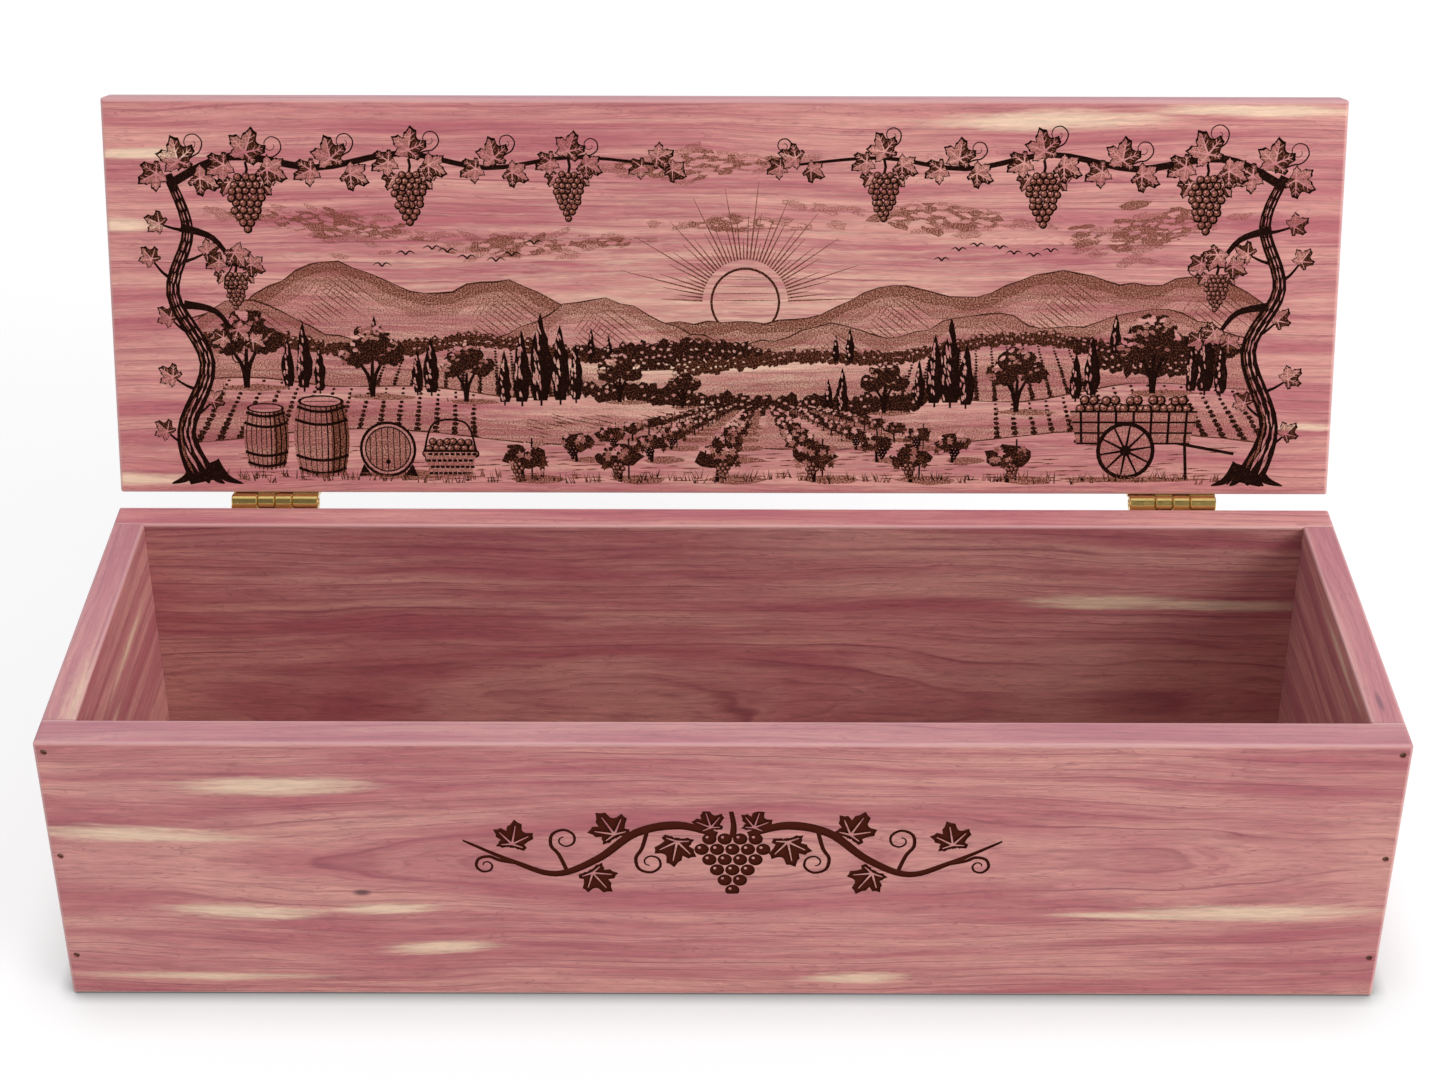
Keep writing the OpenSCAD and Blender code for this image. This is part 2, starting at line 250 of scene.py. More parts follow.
def cedar(name, board, char=None):
    """Aromatic red cedar, planed and sanded, with no varnish.

    It is a close, satin wood: rose heartwood with mauve ring lines, lens-shaped cream sapwood
    and a fine fibre along the grain. The faces along its edges, the rims on top, get a painted
    sheen and painted light, and its eased edges are pale with wear and a painted highlight. Where
    a laser burnt it through, it goes to the char's colour.
    """
    wood = bpy.context.scene.cedar_box
    material, put = new_material(name)
    grain = put("Mapping", {"Vector": put("TexCoord", out="Object"), "Location": Vector(board.place) * MM,
                            "Rotation": board.turn, "Scale": (MM, MM, MM)}, vector_type="TEXTURE")

    def stretched(scale, vector, offset, detail=2.0, out="Fac", rough=0.5):
        """Noise whose grains are scale mm long, deep and wide."""
        squeezed = put("VectorMath", [vector, tuple(1.0 / s for s in scale)], operation="MULTIPLY")
        place = (board.seed * 7.3 + offset, offset * 3.1, board.seed)
        moved = put("VectorMath", [squeezed, place], operation="ADD")
        return put("TexNoise", {"Vector": moved, "Scale": 1.0, "Detail": detail, "Roughness": rough},
                   out=out)

    def swayed(vector, scale, sway, offset):
        """The vector moved across the grain, up to sway / 2 mm, by noise of that scale."""
        drift = stretched(scale, grain, offset, detail=1.0, out="Color")
        centred = put("VectorMath", [drift, (0.5, 0.5, 0.5)], operation="SUBTRACT")
        across = put("VectorMath", [centred, (0.0, sway, sway)], operation="MULTIPLY")
        return put("VectorMath", [vector, across], operation="ADD")

    # The tree grew crooked: its rings waver slowly along the grain, and a little quickly.
    waver = swayed(swayed(grain, (110, 30, 30), 7.0, 1.0), (26, 8, 6), 1.3, 5.0)

    # Rings are cylinders about a pith that bows away from the face, so they close in long loops.
    pith_x, pith_y, pith_z, bow = board.pith
    along, deep, across = put("SeparateXYZ", [waver]).node.outputs
    from_pith = put("Math", [along, pith_x], operation="SUBTRACT")
    squared = put("Math", [from_pith, from_pith], operation="MULTIPLY")
    arc = put("Math", [squared, bow], operation="MULTIPLY")
    held = put("Math", [arc, 1 / BOW_LIMIT, 1.0], operation="MULTIPLY_ADD")
    bowed = put("Math", [arc, held], operation="DIVIDE")
    below = put("Math", [put("Math", [deep, pith_y], operation="ADD"), bowed], operation="ADD")
    aside = put("Math", [across, pith_z], operation="SUBTRACT")
    spoke = put("CombineXYZ", [0.0, below, aside])
    radius = put("VectorMath", [spoke], out="Value", operation="LENGTH")

    def shell(length, thickness, offset=0.0, **noise):
        """Noise that follows the rings. Its grains are that long and that thick, in mm."""
        lengthwise = put("Math", [along, 1.0 / length], operation="MULTIPLY")
        outward = put("Math", [radius, 1.0 / thickness], operation="MULTIPLY")
        place = put("CombineXYZ", [lengthwise, outward, board.seed + offset])
        return put("TexNoise", {"Vector": place, "Scale": 1.0, **noise})

    def pulse(value, start, top):
        """A rise from start to top and a steeper fall from there to 1."""
        rise = put("MapRange", [value, start, top], **SMOOTH)
        fall = put("MapRange", [value, top, 1.0, 1.0, 0.0], **SMOOTH)
        return put("Math", [rise, fall], operation="MULTIPLY")

    uneven = put("TexNoise", {"W": radius, "Scale": 1 / 9.0, "Detail": 2.0}, noise_dimensions="1D")
    crowding = put("Math", [uneven, 3.2], operation="MULTIPLY")
    ring = put("Math", [radius, 1.0 / RING_PITCH, crowding], operation="MULTIPLY_ADD")
    # Each ring darkens slowly to its thin latewood line, which fades and comes back along the grain.
    # Between these lines run fainter, closer ones.
    strength = put("MapRange", [shell(70.0, 3.4, Detail=2.0), 0.34, 0.66, 0.15, 1.0], **SMOOTH)
    part = put("Math", [ring], operation="FRACT")
    thin = put("Math", [pulse(part, 0.80, 0.93), 0.85], operation="MULTIPLY")
    line = put("Math", [pulse(part, 0.15, 0.92), 0.25, thin], operation="MULTIPLY_ADD")
    close = put("Math", [put("Math", [ring, 2.7], operation="MULTIPLY")], operation="FRACT")
    broken = put("MapRange", [stretched((38, 1.5, 1.5), waver, 61.0), 0.42, 0.60], **SMOOTH)
    between = put("Math", [pulse(close, 0.62, 0.88), broken], operation="MULTIPLY")
    faint = put("Math", [between, 0.55], operation="MULTIPLY")
    line_dark = put("Math", [line, strength, faint], operation="MULTIPLY_ADD")

    # Wide rosy and salmon bands follow the rings, and so do soft dark streaks.
    band = put("MapRange", [shell(130.0, 5.5, 4.0, Detail=4.0, Roughness=0.62), 0.34, 0.66], **SMOOTH)
    smear = put("MapRange", [stretched((60, 2.4, 1.9), waver, 11.0, detail=3.0), 0.50, 0.78], **SMOOTH)

    # Fibres lie along the grain, but curl a little.
    curled = swayed(waver, (5.0, 1.6, 1.6), 1.1, 21.0)
    fibre = stretched((FIBRE_LENGTH, FIBRE_PITCH, FIBRE_PITCH), curled, 31.0)
    wisp = stretched((7.0, CURL_PITCH * 0.7, CURL_PITCH * 0.6), curled, 41.0, detail=3.0, rough=0.6)

    # Hair-fine darker curls run where a slow noise passes its middle, and come and go.
    slow = stretched((11.0, 1.7, 1.4), curled, 71.0, detail=1.5, rough=0.55)
    from_middle = put("Math", [put("Math", [slow, 0.5], operation="SUBTRACT")], operation="ABSOLUTE")
    thread = put("MapRange", [from_middle, 0.0, 0.030, 1.0, 0.0], **SMOOTH)
    shown = put("MapRange", [stretched((16, 3.0, 3.0), grain, 81.0, detail=1.0), 0.40, 0.62], **SMOOTH)
    hairline = put("Math", [thread, shown], operation="MULTIPLY")

    base = put("Mix", {0: band, 6: opaque(wood.salmon), 7: opaque(wood.rose)}, **COLOURS)
    for mark, depth in ((smear, 0.34), (line_dark, 0.66), (hairline, 0.42)):
        share = put("Math", [mark, depth], operation="MULTIPLY")
        base = put("Mix", {0: share, 6: base, 7: opaque(wood.latewood)}, **COLOURS)

    def lens(place, half_size):
        """The distance from the middle of a lens in the wood, which is 1 at its skin."""
        off = put("VectorMath", [waver, place], operation="SUBTRACT")
        unit = put("VectorMath", [off, tuple(1.0 / half for half in half_size)], operation="MULTIPLY")
        return put("VectorMath", [unit], out="Value", operation="LENGTH")

    # Sapwood lies in lenses. Each fades along its fibres and ends in points.
    nearest = None
    for x, z, half_l, half_w, full in board.streaks:
        reach = lens((x, 0.0, z), (half_l, 3.0 * half_w, half_w))
        reach = put("Math", [reach, 1.0 - full], operation="ADD")
        nearest = reach if nearest is None else put("Math", [nearest, reach], operation="MINIMUM")
    feather = stretched((22, 2.0, 1.0), curled, 51.0, detail=3.0, rough=0.6)
    ragged = put("Math", [feather, 1.3, nearest], operation="MULTIPLY_ADD")
    sap = put("MapRange", [ragged, 0.95, 1.95, 0.95, 0.0], **SMOOTH)
    share = put("Math", [fibre, 0.30], operation="MULTIPLY")
    sap_tone = put("Mix", {0: share, 6: opaque(wood.sapwood), 7: opaque(wood.salmon)}, **COLOURS)
    base = put("Mix", {0: sap, 6: base, 7: sap_tone}, **COLOURS)

    for x, depth, z, half_l, half_w in board.knots:
        reach = lens((x, depth, z), (half_l, half_w, half_w))
        dark = put("MapRange", [reach, 0.35, 1.25, 0.85, 0.0], **SMOOTH)
        base = put("Mix", {0: dark, 6: base, 7: opaque(wood.knot)}, **COLOURS)

    # Two faces of the board are near each other only along an edge.
    low, high = board.size
    middle = tuple((a + b) / 2 for a, b in zip(low, high))
    half = tuple((b - a) / 2 for a, b in zip(low, high))
    off = put("VectorMath", [grain, middle], operation="SUBTRACT")
    side = put("VectorMath", [put("VectorMath", [off], operation="ABSOLUTE"), half], operation="SUBTRACT")
    past_end, past_face, past_edge = put("SeparateXYZ", [side]).node.outputs
    near_face = put("MapRange", [past_face, -EDGE_WEAR_AND_HIGHLIGHT, 0.0], **SMOOTH)
    near_edge = put("MapRange", [past_edge, -EDGE_WEAR_AND_HIGHLIGHT, 0.0], **SMOOTH)
    both = put("Math", [near_face, near_edge], operation="ADD")
    seam = 0.0
    if board.free_end:
        # An end is open only where no other board is butted against it.
        outer, inner = board.free_end
        depth = put("SeparateXYZ", [grain]).node.outputs["Y"]
        open_to = put("MapRange", [depth, inner, outer], **SMOOTH)
        near_end = put("MapRange", [past_end, -EDGE_WEAR_AND_HIGHLIGHT, 0.0], **SMOOTH)
        end = put("Math", [near_end, open_to], operation="MULTIPLY")
        for other in (near_face, near_edge):
            pair = put("Math", [end, other], operation="ADD")
            both = put("Math", [both, pair], operation="MAXIMUM")
    else:
        seam = put("MapRange", [past_end, -SEAM, 0.0, 0.0, 0.55], **SMOOTH)
    # Pale along the eased edges: wear, and a painted highlight where they catch the light.
    wear_and_highlight = put("MapRange", [both, 1.1, 1.8, 0.0, 0.58], **SMOOTH)
    # Painted sheen and painted light on the faces along the board's edges, the rims on top.
    rim = put("MapRange", [past_edge, RIM_SHEEN_START, RIM_SHEEN_FULL], **SMOOTH)

    # The board's brightness, partly painted light and shade for how well it is lit, rises to the painted
    # light of its edge faces. Fibre and wisps lighten and darken everything a little.
    rim_sheen_share, rim_painted_light = board.rim
    lift = put("MapRange", {"Value": rim, "To Min": board.light, "To Max": rim_painted_light})
    for fine, gain in ((fibre, 0.60), (wisp, 0.46)):
        centred = put("Math", [fine, 0.5], operation="SUBTRACT")
        lift = put("Math", [centred, gain, lift], operation="MULTIPLY_ADD")
    tone = put("VectorMath", [base, put("CombineXYZ", [lift, lift, lift])], operation="MULTIPLY")
    # Sapwood is pale already, so the painted sheen of the edge faces leaves it nearly alone.
    bare = put("Math", [sap, -0.8 * rim_sheen_share, rim_sheen_share], operation="MULTIPLY_ADD")
    painted_sheen = put("Math", [rim, bare], operation="MULTIPLY")
    for share, over in ((wear_and_highlight, wood.wear_and_highlight), (painted_sheen, wood.rim), (seam, wood.knot)):
        tone = put("Mix", {0: share, 6: tone, 7: opaque(over)}, **COLOURS)

    rough = put("MapRange", [fibre, 0.3, 0.7, 0.50, 0.62])
    coarse = put("Math", [wisp, 0.9], operation="MULTIPLY")
    height = put("Math", [fibre, 0.5, coarse], operation="MULTIPLY_ADD")
    height = put("Math", [line_dark, 0.35, height], operation="MULTIPLY_ADD")
    sheen = 1.0
    if char:
        tone, rough, sheen = burn(put, grain, tone, rough, char)
    bump = put("Bump", {"Height": height, "Distance": RELIEF * MM, "Strength": 0.55}, out="Normal")
    gloss = put("Math", [sheen, 0.5], operation="MULTIPLY")
    fuzz = put("Math", [sheen, FUZZ], operation="MULTIPLY")
    skin = put("BsdfPrincipled", {"Base Color": tone, "Roughness": rough, "Normal": bump,
                                  "Specular IOR Level": gloss, "Sheen Weight": fuzz,
                                  "Sheen Roughness": 0.45, "Sheen Tint": opaque(srgb("F4EEFA"))}, out="BSDF")
    put("OutputMaterial", {"Surface": skin})
    return material


def burn(put, grain, tone, rough, char):
    """Colours the wood where the piece's burn attribute says how hot the beam was.

    A laser burns tiny dots, so a middling heat comes out as a grain of brown and black specks.
    The char is matt, and takes the wood's sheen away.
    """
    scorched = bpy.context.scene.burnt_art
    heat = put("Attribute", out="Fac", attribute_name="burn")
    dots = put("TexNoise", {"Vector": grain, "Scale": 1 / SPECK_PITCH, "Detail": 1.0})
    speck = put("MapRange", [dots, 0.32, 0.68])

    def reached(start, spread, width):
        """How far the heat, less a share that differs from speck to speck, is past its start."""
        left = put("Math", [speck, -spread, heat], operation="MULTIPLY_ADD")
        return put("MapRange", [left, start, start + width])

    marked = put("Math", [heat, 0.02], operation="GREATER_THAN")
    light = put("Math", [reached(0.0, 0.40, 0.38), marked], operation="MULTIPLY")
    dark = reached(0.36, 0.38, 0.26)
    brown = put("Mix", {0: light, 6: tone, 7: opaque(scorched.scorch)}, **COLOURS)
    black = put("Mix", {0: dark, 6: brown, 7: opaque(char)}, **COLOURS)
    dull = put("Math", [heat, 0.3, rough], operation="MULTIPLY_ADD", use_clamp=True)
    sheen = put("MapRange", [heat, 0.0, 0.7, 1.0, 0.15])
    return black, dull, sheen


def boards():
    """Each board's grain, with the streaks and knots that its show face has."""
    across, through = closed_lid_size()
    # Closed, the lid lies as far above the pins' line as the rim lies below it.
    hinge_edge = Vector((0, BACK_HIGH.y, BOX_H + 2 * (PIN.z - BOX_H)))
    swing = Matrix.Translation(PIN) @ Matrix.Rotation(-OPEN_ANGLE, 4, "X") @ Matrix.Translation(-PIN)
    half_l = BOX_L / 2
    half_end = (RIGHT_HIGH.y - RIGHT_LOW.y) / 2
    half_d = (BOTTOM_HIGH.y - BOTTOM_LOW.y) / 2
    return {
        "front_board": Board(
            (0, FRONT_LOW.y, 0), (0, 0, 0), ((-half_l, 0, 0), (half_l, BOARD_T, BOX_H)),
            pith=(2, 20, 46, 0.00045), seed=1.0, light=0.96, rim=(0.32, 1.0), free_end=(0.0, 3.0),
            streaks=(
                (-114, 69.3, 26, 3.0, 1.0), (-154, 53.8, 30, 2.6, 1.0), (-127, 28.6, 22, 2.4, 1.0),
                (-88, 29.6, 14, 1.7, 1.0), (-75, 17.3, 15, 2.2, 1.0), (140, 29.6, 32, 2.9, 1.0),
                (110, 28.6, 30, 1.3, 0.9), (36, 6.8, 15, 1.9, 1.0), (-140, 8.2, 40, 1.7, 0.8),
            ),
            knots=((-94.7, 0, 35.0, 2.6, 1.2),),
        ),
        "back_board": Board(
            (0, BACK_LOW.y, 0), (0, 0, 0), ((-half_l, 0, 0), (half_l, BOARD_T, BOX_H)),
            pith=(-60, 42, 20, 0.0001), seed=2.0, light=0.88, rim=(0.14, 1.30),
            free_end=(BOARD_T, BOARD_T - 3.0),
            streaks=((112, 57.4, 26, 2.6, 1.0), (145, 56.6, 30, 2.2, 1.0), (-40, 12, 40, 2.5, 0.9)),
        ),
        "left_end_board": Board(
            (LEFT_HIGH.x, 0, 0), (0, 0, math.radians(90)),
            ((-half_end, 0, 0), (half_end, END_T, BOX_H)),
            pith=(10, 70, -20, 0.0012), seed=3.0, light=1.09, rim=(0.30, 1.10),
            streaks=((-46, 83.8, 30, 2.0, 1.0), (-20, 58, 18, 1.8, 0.9), (14, 66, 26, 1.6, 0.9)),
        ),
        "right_end_board": Board(
            (RIGHT_LOW.x, 0, 0), (0, 0, math.radians(-90)),
            ((-half_end, 0, 0), (half_end, END_T, BOX_H)),
            pith=(-5, 64, -30, 0.0010), seed=4.0, light=1.06, rim=(0.26, 1.12),
            streaks=((10, 78, 34, 1.8, 0.9),), knots=((38.5, 3.9, 84, 5.0, 0.9),),
        ),
        "bottom_board": Board(
            (0, 0, BOTTOM_HIGH.z), (math.radians(-90), 0, 0),
            ((-half_l, 0, -half_d), (half_l, BOTTOM_HIGH.z, half_d)),
            pith=(40, 26, 6, 0.0003), seed=5.0,
            streaks=((-90, 20, 40, 4.0, 1.0), (70, -26, 50, 3.0, 1.0)),
        ),
        "lid_board": Board(
            tuple(swing @ hinge_edge), (math.radians(90) - OPEN_ANGLE, 0, 0),
            ((-half_l, 0, 0), (half_l, through, across)),
            pith=(0, 45, -60, 0.0001), seed=6.0, light=1.16, free_end=(-1.0, -2.0),
            streaks=(
                (92, 107.4, 36, 2.6, 1.0), (152, 109.6, 34, 1.9, 1.0), (-165, 97, 22, 2.2, 0.9),
                (-172, 77.8, 16, 2.4, 0.9), (-168, 4.8, 18, 2.2, 1.0), (168, 20.4, 14, 1.6, 0.8),
                (-10, 38, 60, 2.4, 0.85), (0, 42, 460, 130, 0.14),
            ),
            knots=((-62.3, 0, 95.6, 2.2, 1.0),),
        ),
    }


# ---------------------------------------------------------------- drawing with heat


class Drawing:
    """Shapes burnt into a face, in mm on its plane, each over the ones before it.

    Heat is 0 for bare wood, 1 for char. A low heat only colours the wood, a high one eats into it.
    """

    def __init__(self, seed, field):
        self.shapes = []
        self.field = field        # left, right, lowest and highest place that it may mark
        self.rng = random.Random(seed)

    def shape(self, points, heat):
        """A filled outline, held inside the field."""
        left, right, low, high = self.field
        held = [(min(max(x, left), right), min(max(y, low), high)) for x, y in points]
        self.shapes.append((held, heat))

    def near(self, value, spread):
        """A value near this one."""
        return value + self.rng.uniform(-spread, spread)

    def dab(self, x, y, rx, ry, heat, turn=0.0, sides=7, rough=0.15):
        """A round or oval mark, a little uneven."""
        c, s = math.cos(turn), math.sin(turn)
        points = []
        for i in range(sides):
            angle = math.tau * i / sides
            reach = self.near(1.0, rough)
            u, v = rx * reach * math.cos(angle), ry * reach * math.sin(angle)
            points.append((x + u * c - v * s, y + u * s + v * c))
        self.shape(points, heat)

    def stroke(self, points, widths, heat, steps=1):
        """A line along points. Its width goes through widths from its start to its end."""
        path = smooth(points, steps)
        left, right = [], []
        last = len(path) - 1
        for i, (x, y) in enumerate(path):
            ahead, behind = path[min(i + 1, last)], path[max(i - 1, 0)]
            run = Vector((ahead[0] - behind[0], ahead[1] - behind[1])).normalized()
            half = sample(widths, i / last) / 2
            left.append((x - run.y * half, y + run.x * half))
            right.append((x + run.y * half, y - run.x * half))
        self.shape(left + right[::-1], heat)


FINE = (0.14, 0.38, 0.10)     # widths of a light line that ends in points, in mm

# Heats that come again and again: wood left bare, the planks of casks and the cart, a shadow on
# the ground, the dark mass of leaves, a drawn line, and char. COLOUR_ONLY is the highest heat that
# leaves the surface level.
BARE, PLANK, CAST, DARK, LINE, CHAR = 0.0, 0.42, 0.5, 0.82, 0.95, 1.0
COLOUR_ONLY = DARK


def smooth(points, steps):
    """Points along a smooth curve that passes through the given ones."""
    if len(points) < 3 or steps < 2:
        return list(points)
    padded = [points[0], *points, points[-1]]
    path = []
    for before, start, end, after in zip(padded, padded[1:], padded[2:], padded[3:]):
        for i in range(steps):
            t = i / steps
            path.append(tuple(
                0.5 * (2 * b + (c - a) * t + (2 * a - 5 * b + 4 * c - d) * t**2
                       + (3 * b - a - 3 * c + d) * t**3)
                for a, b, c, d in zip(before, start, end, after)
            ))
    return path + [points[-1]]


def sample(values, t):
    """The value at t, from 0 to 1, along evenly spaced values."""
    if isinstance(values, (int, float)):
        return values
    place = t * (len(values) - 1)
    i = min(int(place), len(values) - 2)
    return values[i] + (values[i + 1] - values[i]) * (place - i)


def turned(points, x, y, size, angle):
    """Points of a unit pattern, sized, turned and moved."""
    c, s = math.cos(angle) * size, math.sin(angle) * size
    return [(x + u * c - v * s, y + u * s + v * c) for u, v in points]


def polar(angle, reach):
    """The point at an angle, in degrees, and a distance."""
    return reach * math.cos(math.radians(angle)), reach * math.sin(math.radians(angle))


LEAF_LOBES = ((0, 1.0), (58, 0.86), (-58, 0.86), (118, 0.62), (-118, 0.62))   # degrees, reach
LEAF_POINTS = 38
# A small leaf, whose lobes have straight sides: degrees, reach.
LITTLE_LEAF = [polar(angle, reach) for angle, reach in (
    (0, 1.0), (29, 0.5), (58, 0.86), (88, 0.42), (118, 0.62), (180, 0.22), (242, 0.62), (272, 0.42),
    (302, 0.86), (331, 0.5))]


def leaf_outline():
    """A vine leaf that points along +u: five toothed lobes round its stalk."""
    points = []
    for i in range(LEAF_POINTS):
        angle = 360 * (i + 0.5) / LEAF_POINTS - 180
        reach = max(r * (1 - 0.50 * (abs(angle - lobe) / 34) ** 1.25) for lobe, r in LEAF_LOBES)
        points.append(polar(angle, max(reach, 0.30) * (1.05 if i % 2 else 0.93)))
    return points


def vine_leaf(art, x, y, size, angle):
    """A leaf with one half in shade, and its veins left pale."""
    outline = leaf_outline()
    art.shape(turned(outline, x, y, size, angle), CHAR)
    inner = [(u * 0.88, v * 0.88) for u, v in outline]
    art.shape(turned(inner, x, y, size, angle), 0.40)
    shade = [(u, v) for u, v in inner if v <= 0.02]
    art.shape(turned([(-0.1, 0.0), *shade, (0.84, 0.0)], x, y, size, angle), 0.74)
    for lobe, reach in LEAF_LOBES:
        tip = polar(lobe, 0.80 * reach)
        art.stroke(turned([(0, 0), tip], x, y, size, angle), (0.08 * size, 0.02 * size), BARE)
        if size < 5:
            continue
        for part in (0.42, 0.70):
            for side in (-1, 1):
                root = (tip[0] * part, tip[1] * part)
                fork = polar(lobe + side * 42, 0.24 * reach)
                end = (root[0] + fork[0], root[1] + fork[1])
                art.stroke(turned([root, end], x, y, size, angle), (0.035 * size, 0.02 * size), 0.10)


def grapes(art, x, y, size, rows=(3, 4, 5, 5, 4, 4, 3, 2, 1)):
    """A hanging bunch. Each grape is dark with a lit side and a bright spot."""
    berries = []
    for row, count in enumerate(rows):
        for i in range(count):
            berries.append((x + (i - (count - 1) / 2) * 1.75 * size + art.near(0, 0.25 * size),
                            y - row * 1.55 * size + art.near(0, 0.25 * size)))
    art.rng.shuffle(berries)
    for bx, by in berries:
        art.dab(bx, by, 1.10 * size, 1.10 * size, CHAR, sides=9, rough=0.02)
        if size > 0.7:
            art.dab(bx - 0.10 * size, by + 0.12 * size, 0.76 * size, 0.76 * size, 0.58, sides=7, rough=0.03)
        art.dab(bx - 0.30 * size, by + 0.32 * size, 0.30 * size, 0.26 * size, BARE, sides=5, rough=0.05)


def tendril(art, x, y, size, angle, hand=1, bold=1.0):
    """A curling stem that winds up at its end."""
    points = [(0, 0), (0.7, 0.1 * hand)]
    for i in range(9):
        turn = i * math.radians(58)
        reach = 0.46 * (1 - i / 10.5)
        points.append((1.1 + reach * math.sin(turn), hand * (0.52 - reach * math.cos(turn))))
    widths = [bold * width for width in (0.50, 0.38, 0.26, 0.16)]
    art.stroke(turned(points, x, y, size, angle), widths, LINE, steps=3)


def foliage(art, x, y, rx, ry, count, leaf):
    """A crown: a ragged mass with dark tufts low down and lit ones towards the upper left."""
    art.dab(x, y, rx, ry, DARK, sides=max(12, int(rx * 5)), rough=0.18)
    for _ in range(count):
        reach = 0.95 * math.sqrt(art.rng.random())
        u, v = polar(art.rng.uniform(0, 360), reach)
        lit = 0.75 * v - 0.45 * u + art.near(0, 0.35)
        heat = 0.10 if lit > 0.46 else 0.45 if lit > 0.10 else DARK
        art.dab(x + rx * u, y + ry * v, art.near(leaf, leaf * 0.3), leaf * 0.6, heat,
                art.near(0, 0.8), 5, 0.25)


def round_tree(art, x, y, height):
    """A spreading tree with a forked trunk."""
    crown = height * 0.36
    art.dab(x + height * 0.12, y, height * 0.42, height * 0.045, CAST, 0, 12, 0.2)
    for lean, top in ((-0.30, 0.62), (0.26, 0.66), (0.02, 0.74)):
        elbow = (x + lean * height * 0.2, y + height * 0.3)
        art.stroke([(x, y), elbow, (x + lean * height, y + height * top)],
                   (height * 0.07, height * 0.05, height * 0.02), LINE, steps=3)
    for dx, dy, part in ((-0.20, 0.56, 0.75), (0.22, 0.58, 0.75), (0.0, 0.74, 0.9)):
        foliage(art, x + dx * height, y + dy * height, crown * part * 0.82, crown * part * 0.62,
                int(10 + height * 1.6), max(0.42, height * 0.046))
    grass(art, x, y, height * 0.3, 5)


def cypress(art, x, y, height):
    """A narrow flame of a tree."""
    half = height * 0.115

    def girth(t):
        """How far it reaches sideways at that part of its height."""
        return half * math.sin(math.pi * (0.12 + 0.88 * t) ** 0.75)

    outline = []
    for side in (-1, 1):
        flank = []
        for t in (i / 10 for i in range(11)):
            width = girth(t) + 0.05
            flank.append((x + side * width * art.near(1.0, 0.22), y + height * (0.05 + 0.95 * t)))
        outline += flank if side < 0 else flank[::-1]
    art.stroke([(x, y - 0.2), (x, y + height * 0.1)], 0.1 * half + 0.35, LINE)
    art.shape(outline, LINE)
    for _ in range(int(height * 0.9)):
        t = art.rng.uniform(0.1, 0.86)
        px = x - girth(t) * art.rng.uniform(0.05, 0.75)
        art.dab(px, y + height * t, 0.26, height * 0.045, 0.25, art.near(0.15, 0.2), 5, 0.2)


def grass(art, x, y, spread, count, height=1.6):
    """A tuft of blades."""
    for _ in range(count):
        root = art.near(x, spread)
        lean = art.near(0, 0.55)
        tall = height * art.rng.uniform(0.5, 1.1)
        blade = [(root - 0.2, y), (root + 0.2, y), (root + lean * tall, y + tall)]
        art.shape(blade, art.rng.choice((0.6, DARK)))


def hatch(art, x, y, length, angle, count, gap, heat=0.55, fade=0.75):
    """Side by side strokes that shade a slope."""
    c, s = math.cos(angle), math.sin(angle)
    for i in range(count):
        reach = length * (1 - fade * i / count) * art.rng.uniform(0.75, 1.05)
        sx, sy = x - s * gap * i + art.near(0, gap * 0.3), y + c * gap * i
        art.stroke([(sx, sy), (sx + c * reach * 0.5, sy + s * reach * 0.5 + art.near(0, 0.2)),
                    (sx + c * reach, sy + s * reach)], FINE, heat)


def cloud(art, x, y, length, height, slope, count):
    """A drift of scorched flecks, thick and dark in its middle, with bare gaps between them."""
    for heat, spread, part in ((0.34, 0.46, 1.0), (0.50, 0.34, 0.7), (BARE, 0.42, 0.6)):
        for _ in range(int(count * part)):
            t = art.rng.gauss(0, spread)
            px = x + t * length / 2
            py = y + t * slope * length / 2 + art.rng.gauss(0, spread) * height / 2 * (1.1 - min(1, abs(t)))
            size = art.rng.uniform(0.4, 1.0) * (1.0 if heat else 0.5)
            art.dab(px, py, 4.2 * size, 1.3 * size, heat, slope + art.near(0, 0.25), 7, 0.4)


def crest(art, left, right, level, swells, step=6.0):
    """Points along a hill's top: a level and some (place, height, width) swells.

    A side that is None ends at the old vine there.
    """
    def rise(x):
        """The hill's height at x."""
        return level + sum(h * math.exp(-(((x - at) / w) ** 2)) for at, h, w in swells)

    if left is None:
        left = stock_at(LEFT_STOCK, rise(stock_at(LEFT_STOCK, level)))
    if right is None:
        right = stock_at(RIGHT_STOCK, rise(stock_at(RIGHT_STOCK, level)))
    points = []
    count = int((right - left) / step)
    for i in range(count + 1):
        x = left + (right - left) * i / count
        points.append((x, rise(x) + art.near(0, 0.15)))
    return points


def height_at(line, x):
    """How high a crest is at x."""
    for (x0, y0), (x1, y1) in zip(line, line[1:]):
        if x0 <= x <= x1:
            return y0 + (y1 - y0) * (x - x0) / (x1 - x0)
    return line[0][1] if x < line[0][0] else line[-1][1]


# The old vines up both sides, from root to top. What lies between them ends behind them.
LEFT_STOCK = ((-150, 2.5), (-155, 18), (-148, 38), (-157, 58), (-152, 76), (-157, 92))
RIGHT_STOCK = ((151, 2.5), (157, 20), (150, 42), (158, 60), (153, 78), (158, 92))


def stock_at(stock, height):
    """Where the middle of an old vine is at a height."""
    path = smooth(stock, 6)
    for (x0, y0), (x1, y1) in zip(path, path[1:]):
        if y0 <= height <= y1:
            return x0 + (x1 - x0) * (height - y0) / (y1 - y0)
    return path[0][0] if height < path[0][1] else path[-1][0]


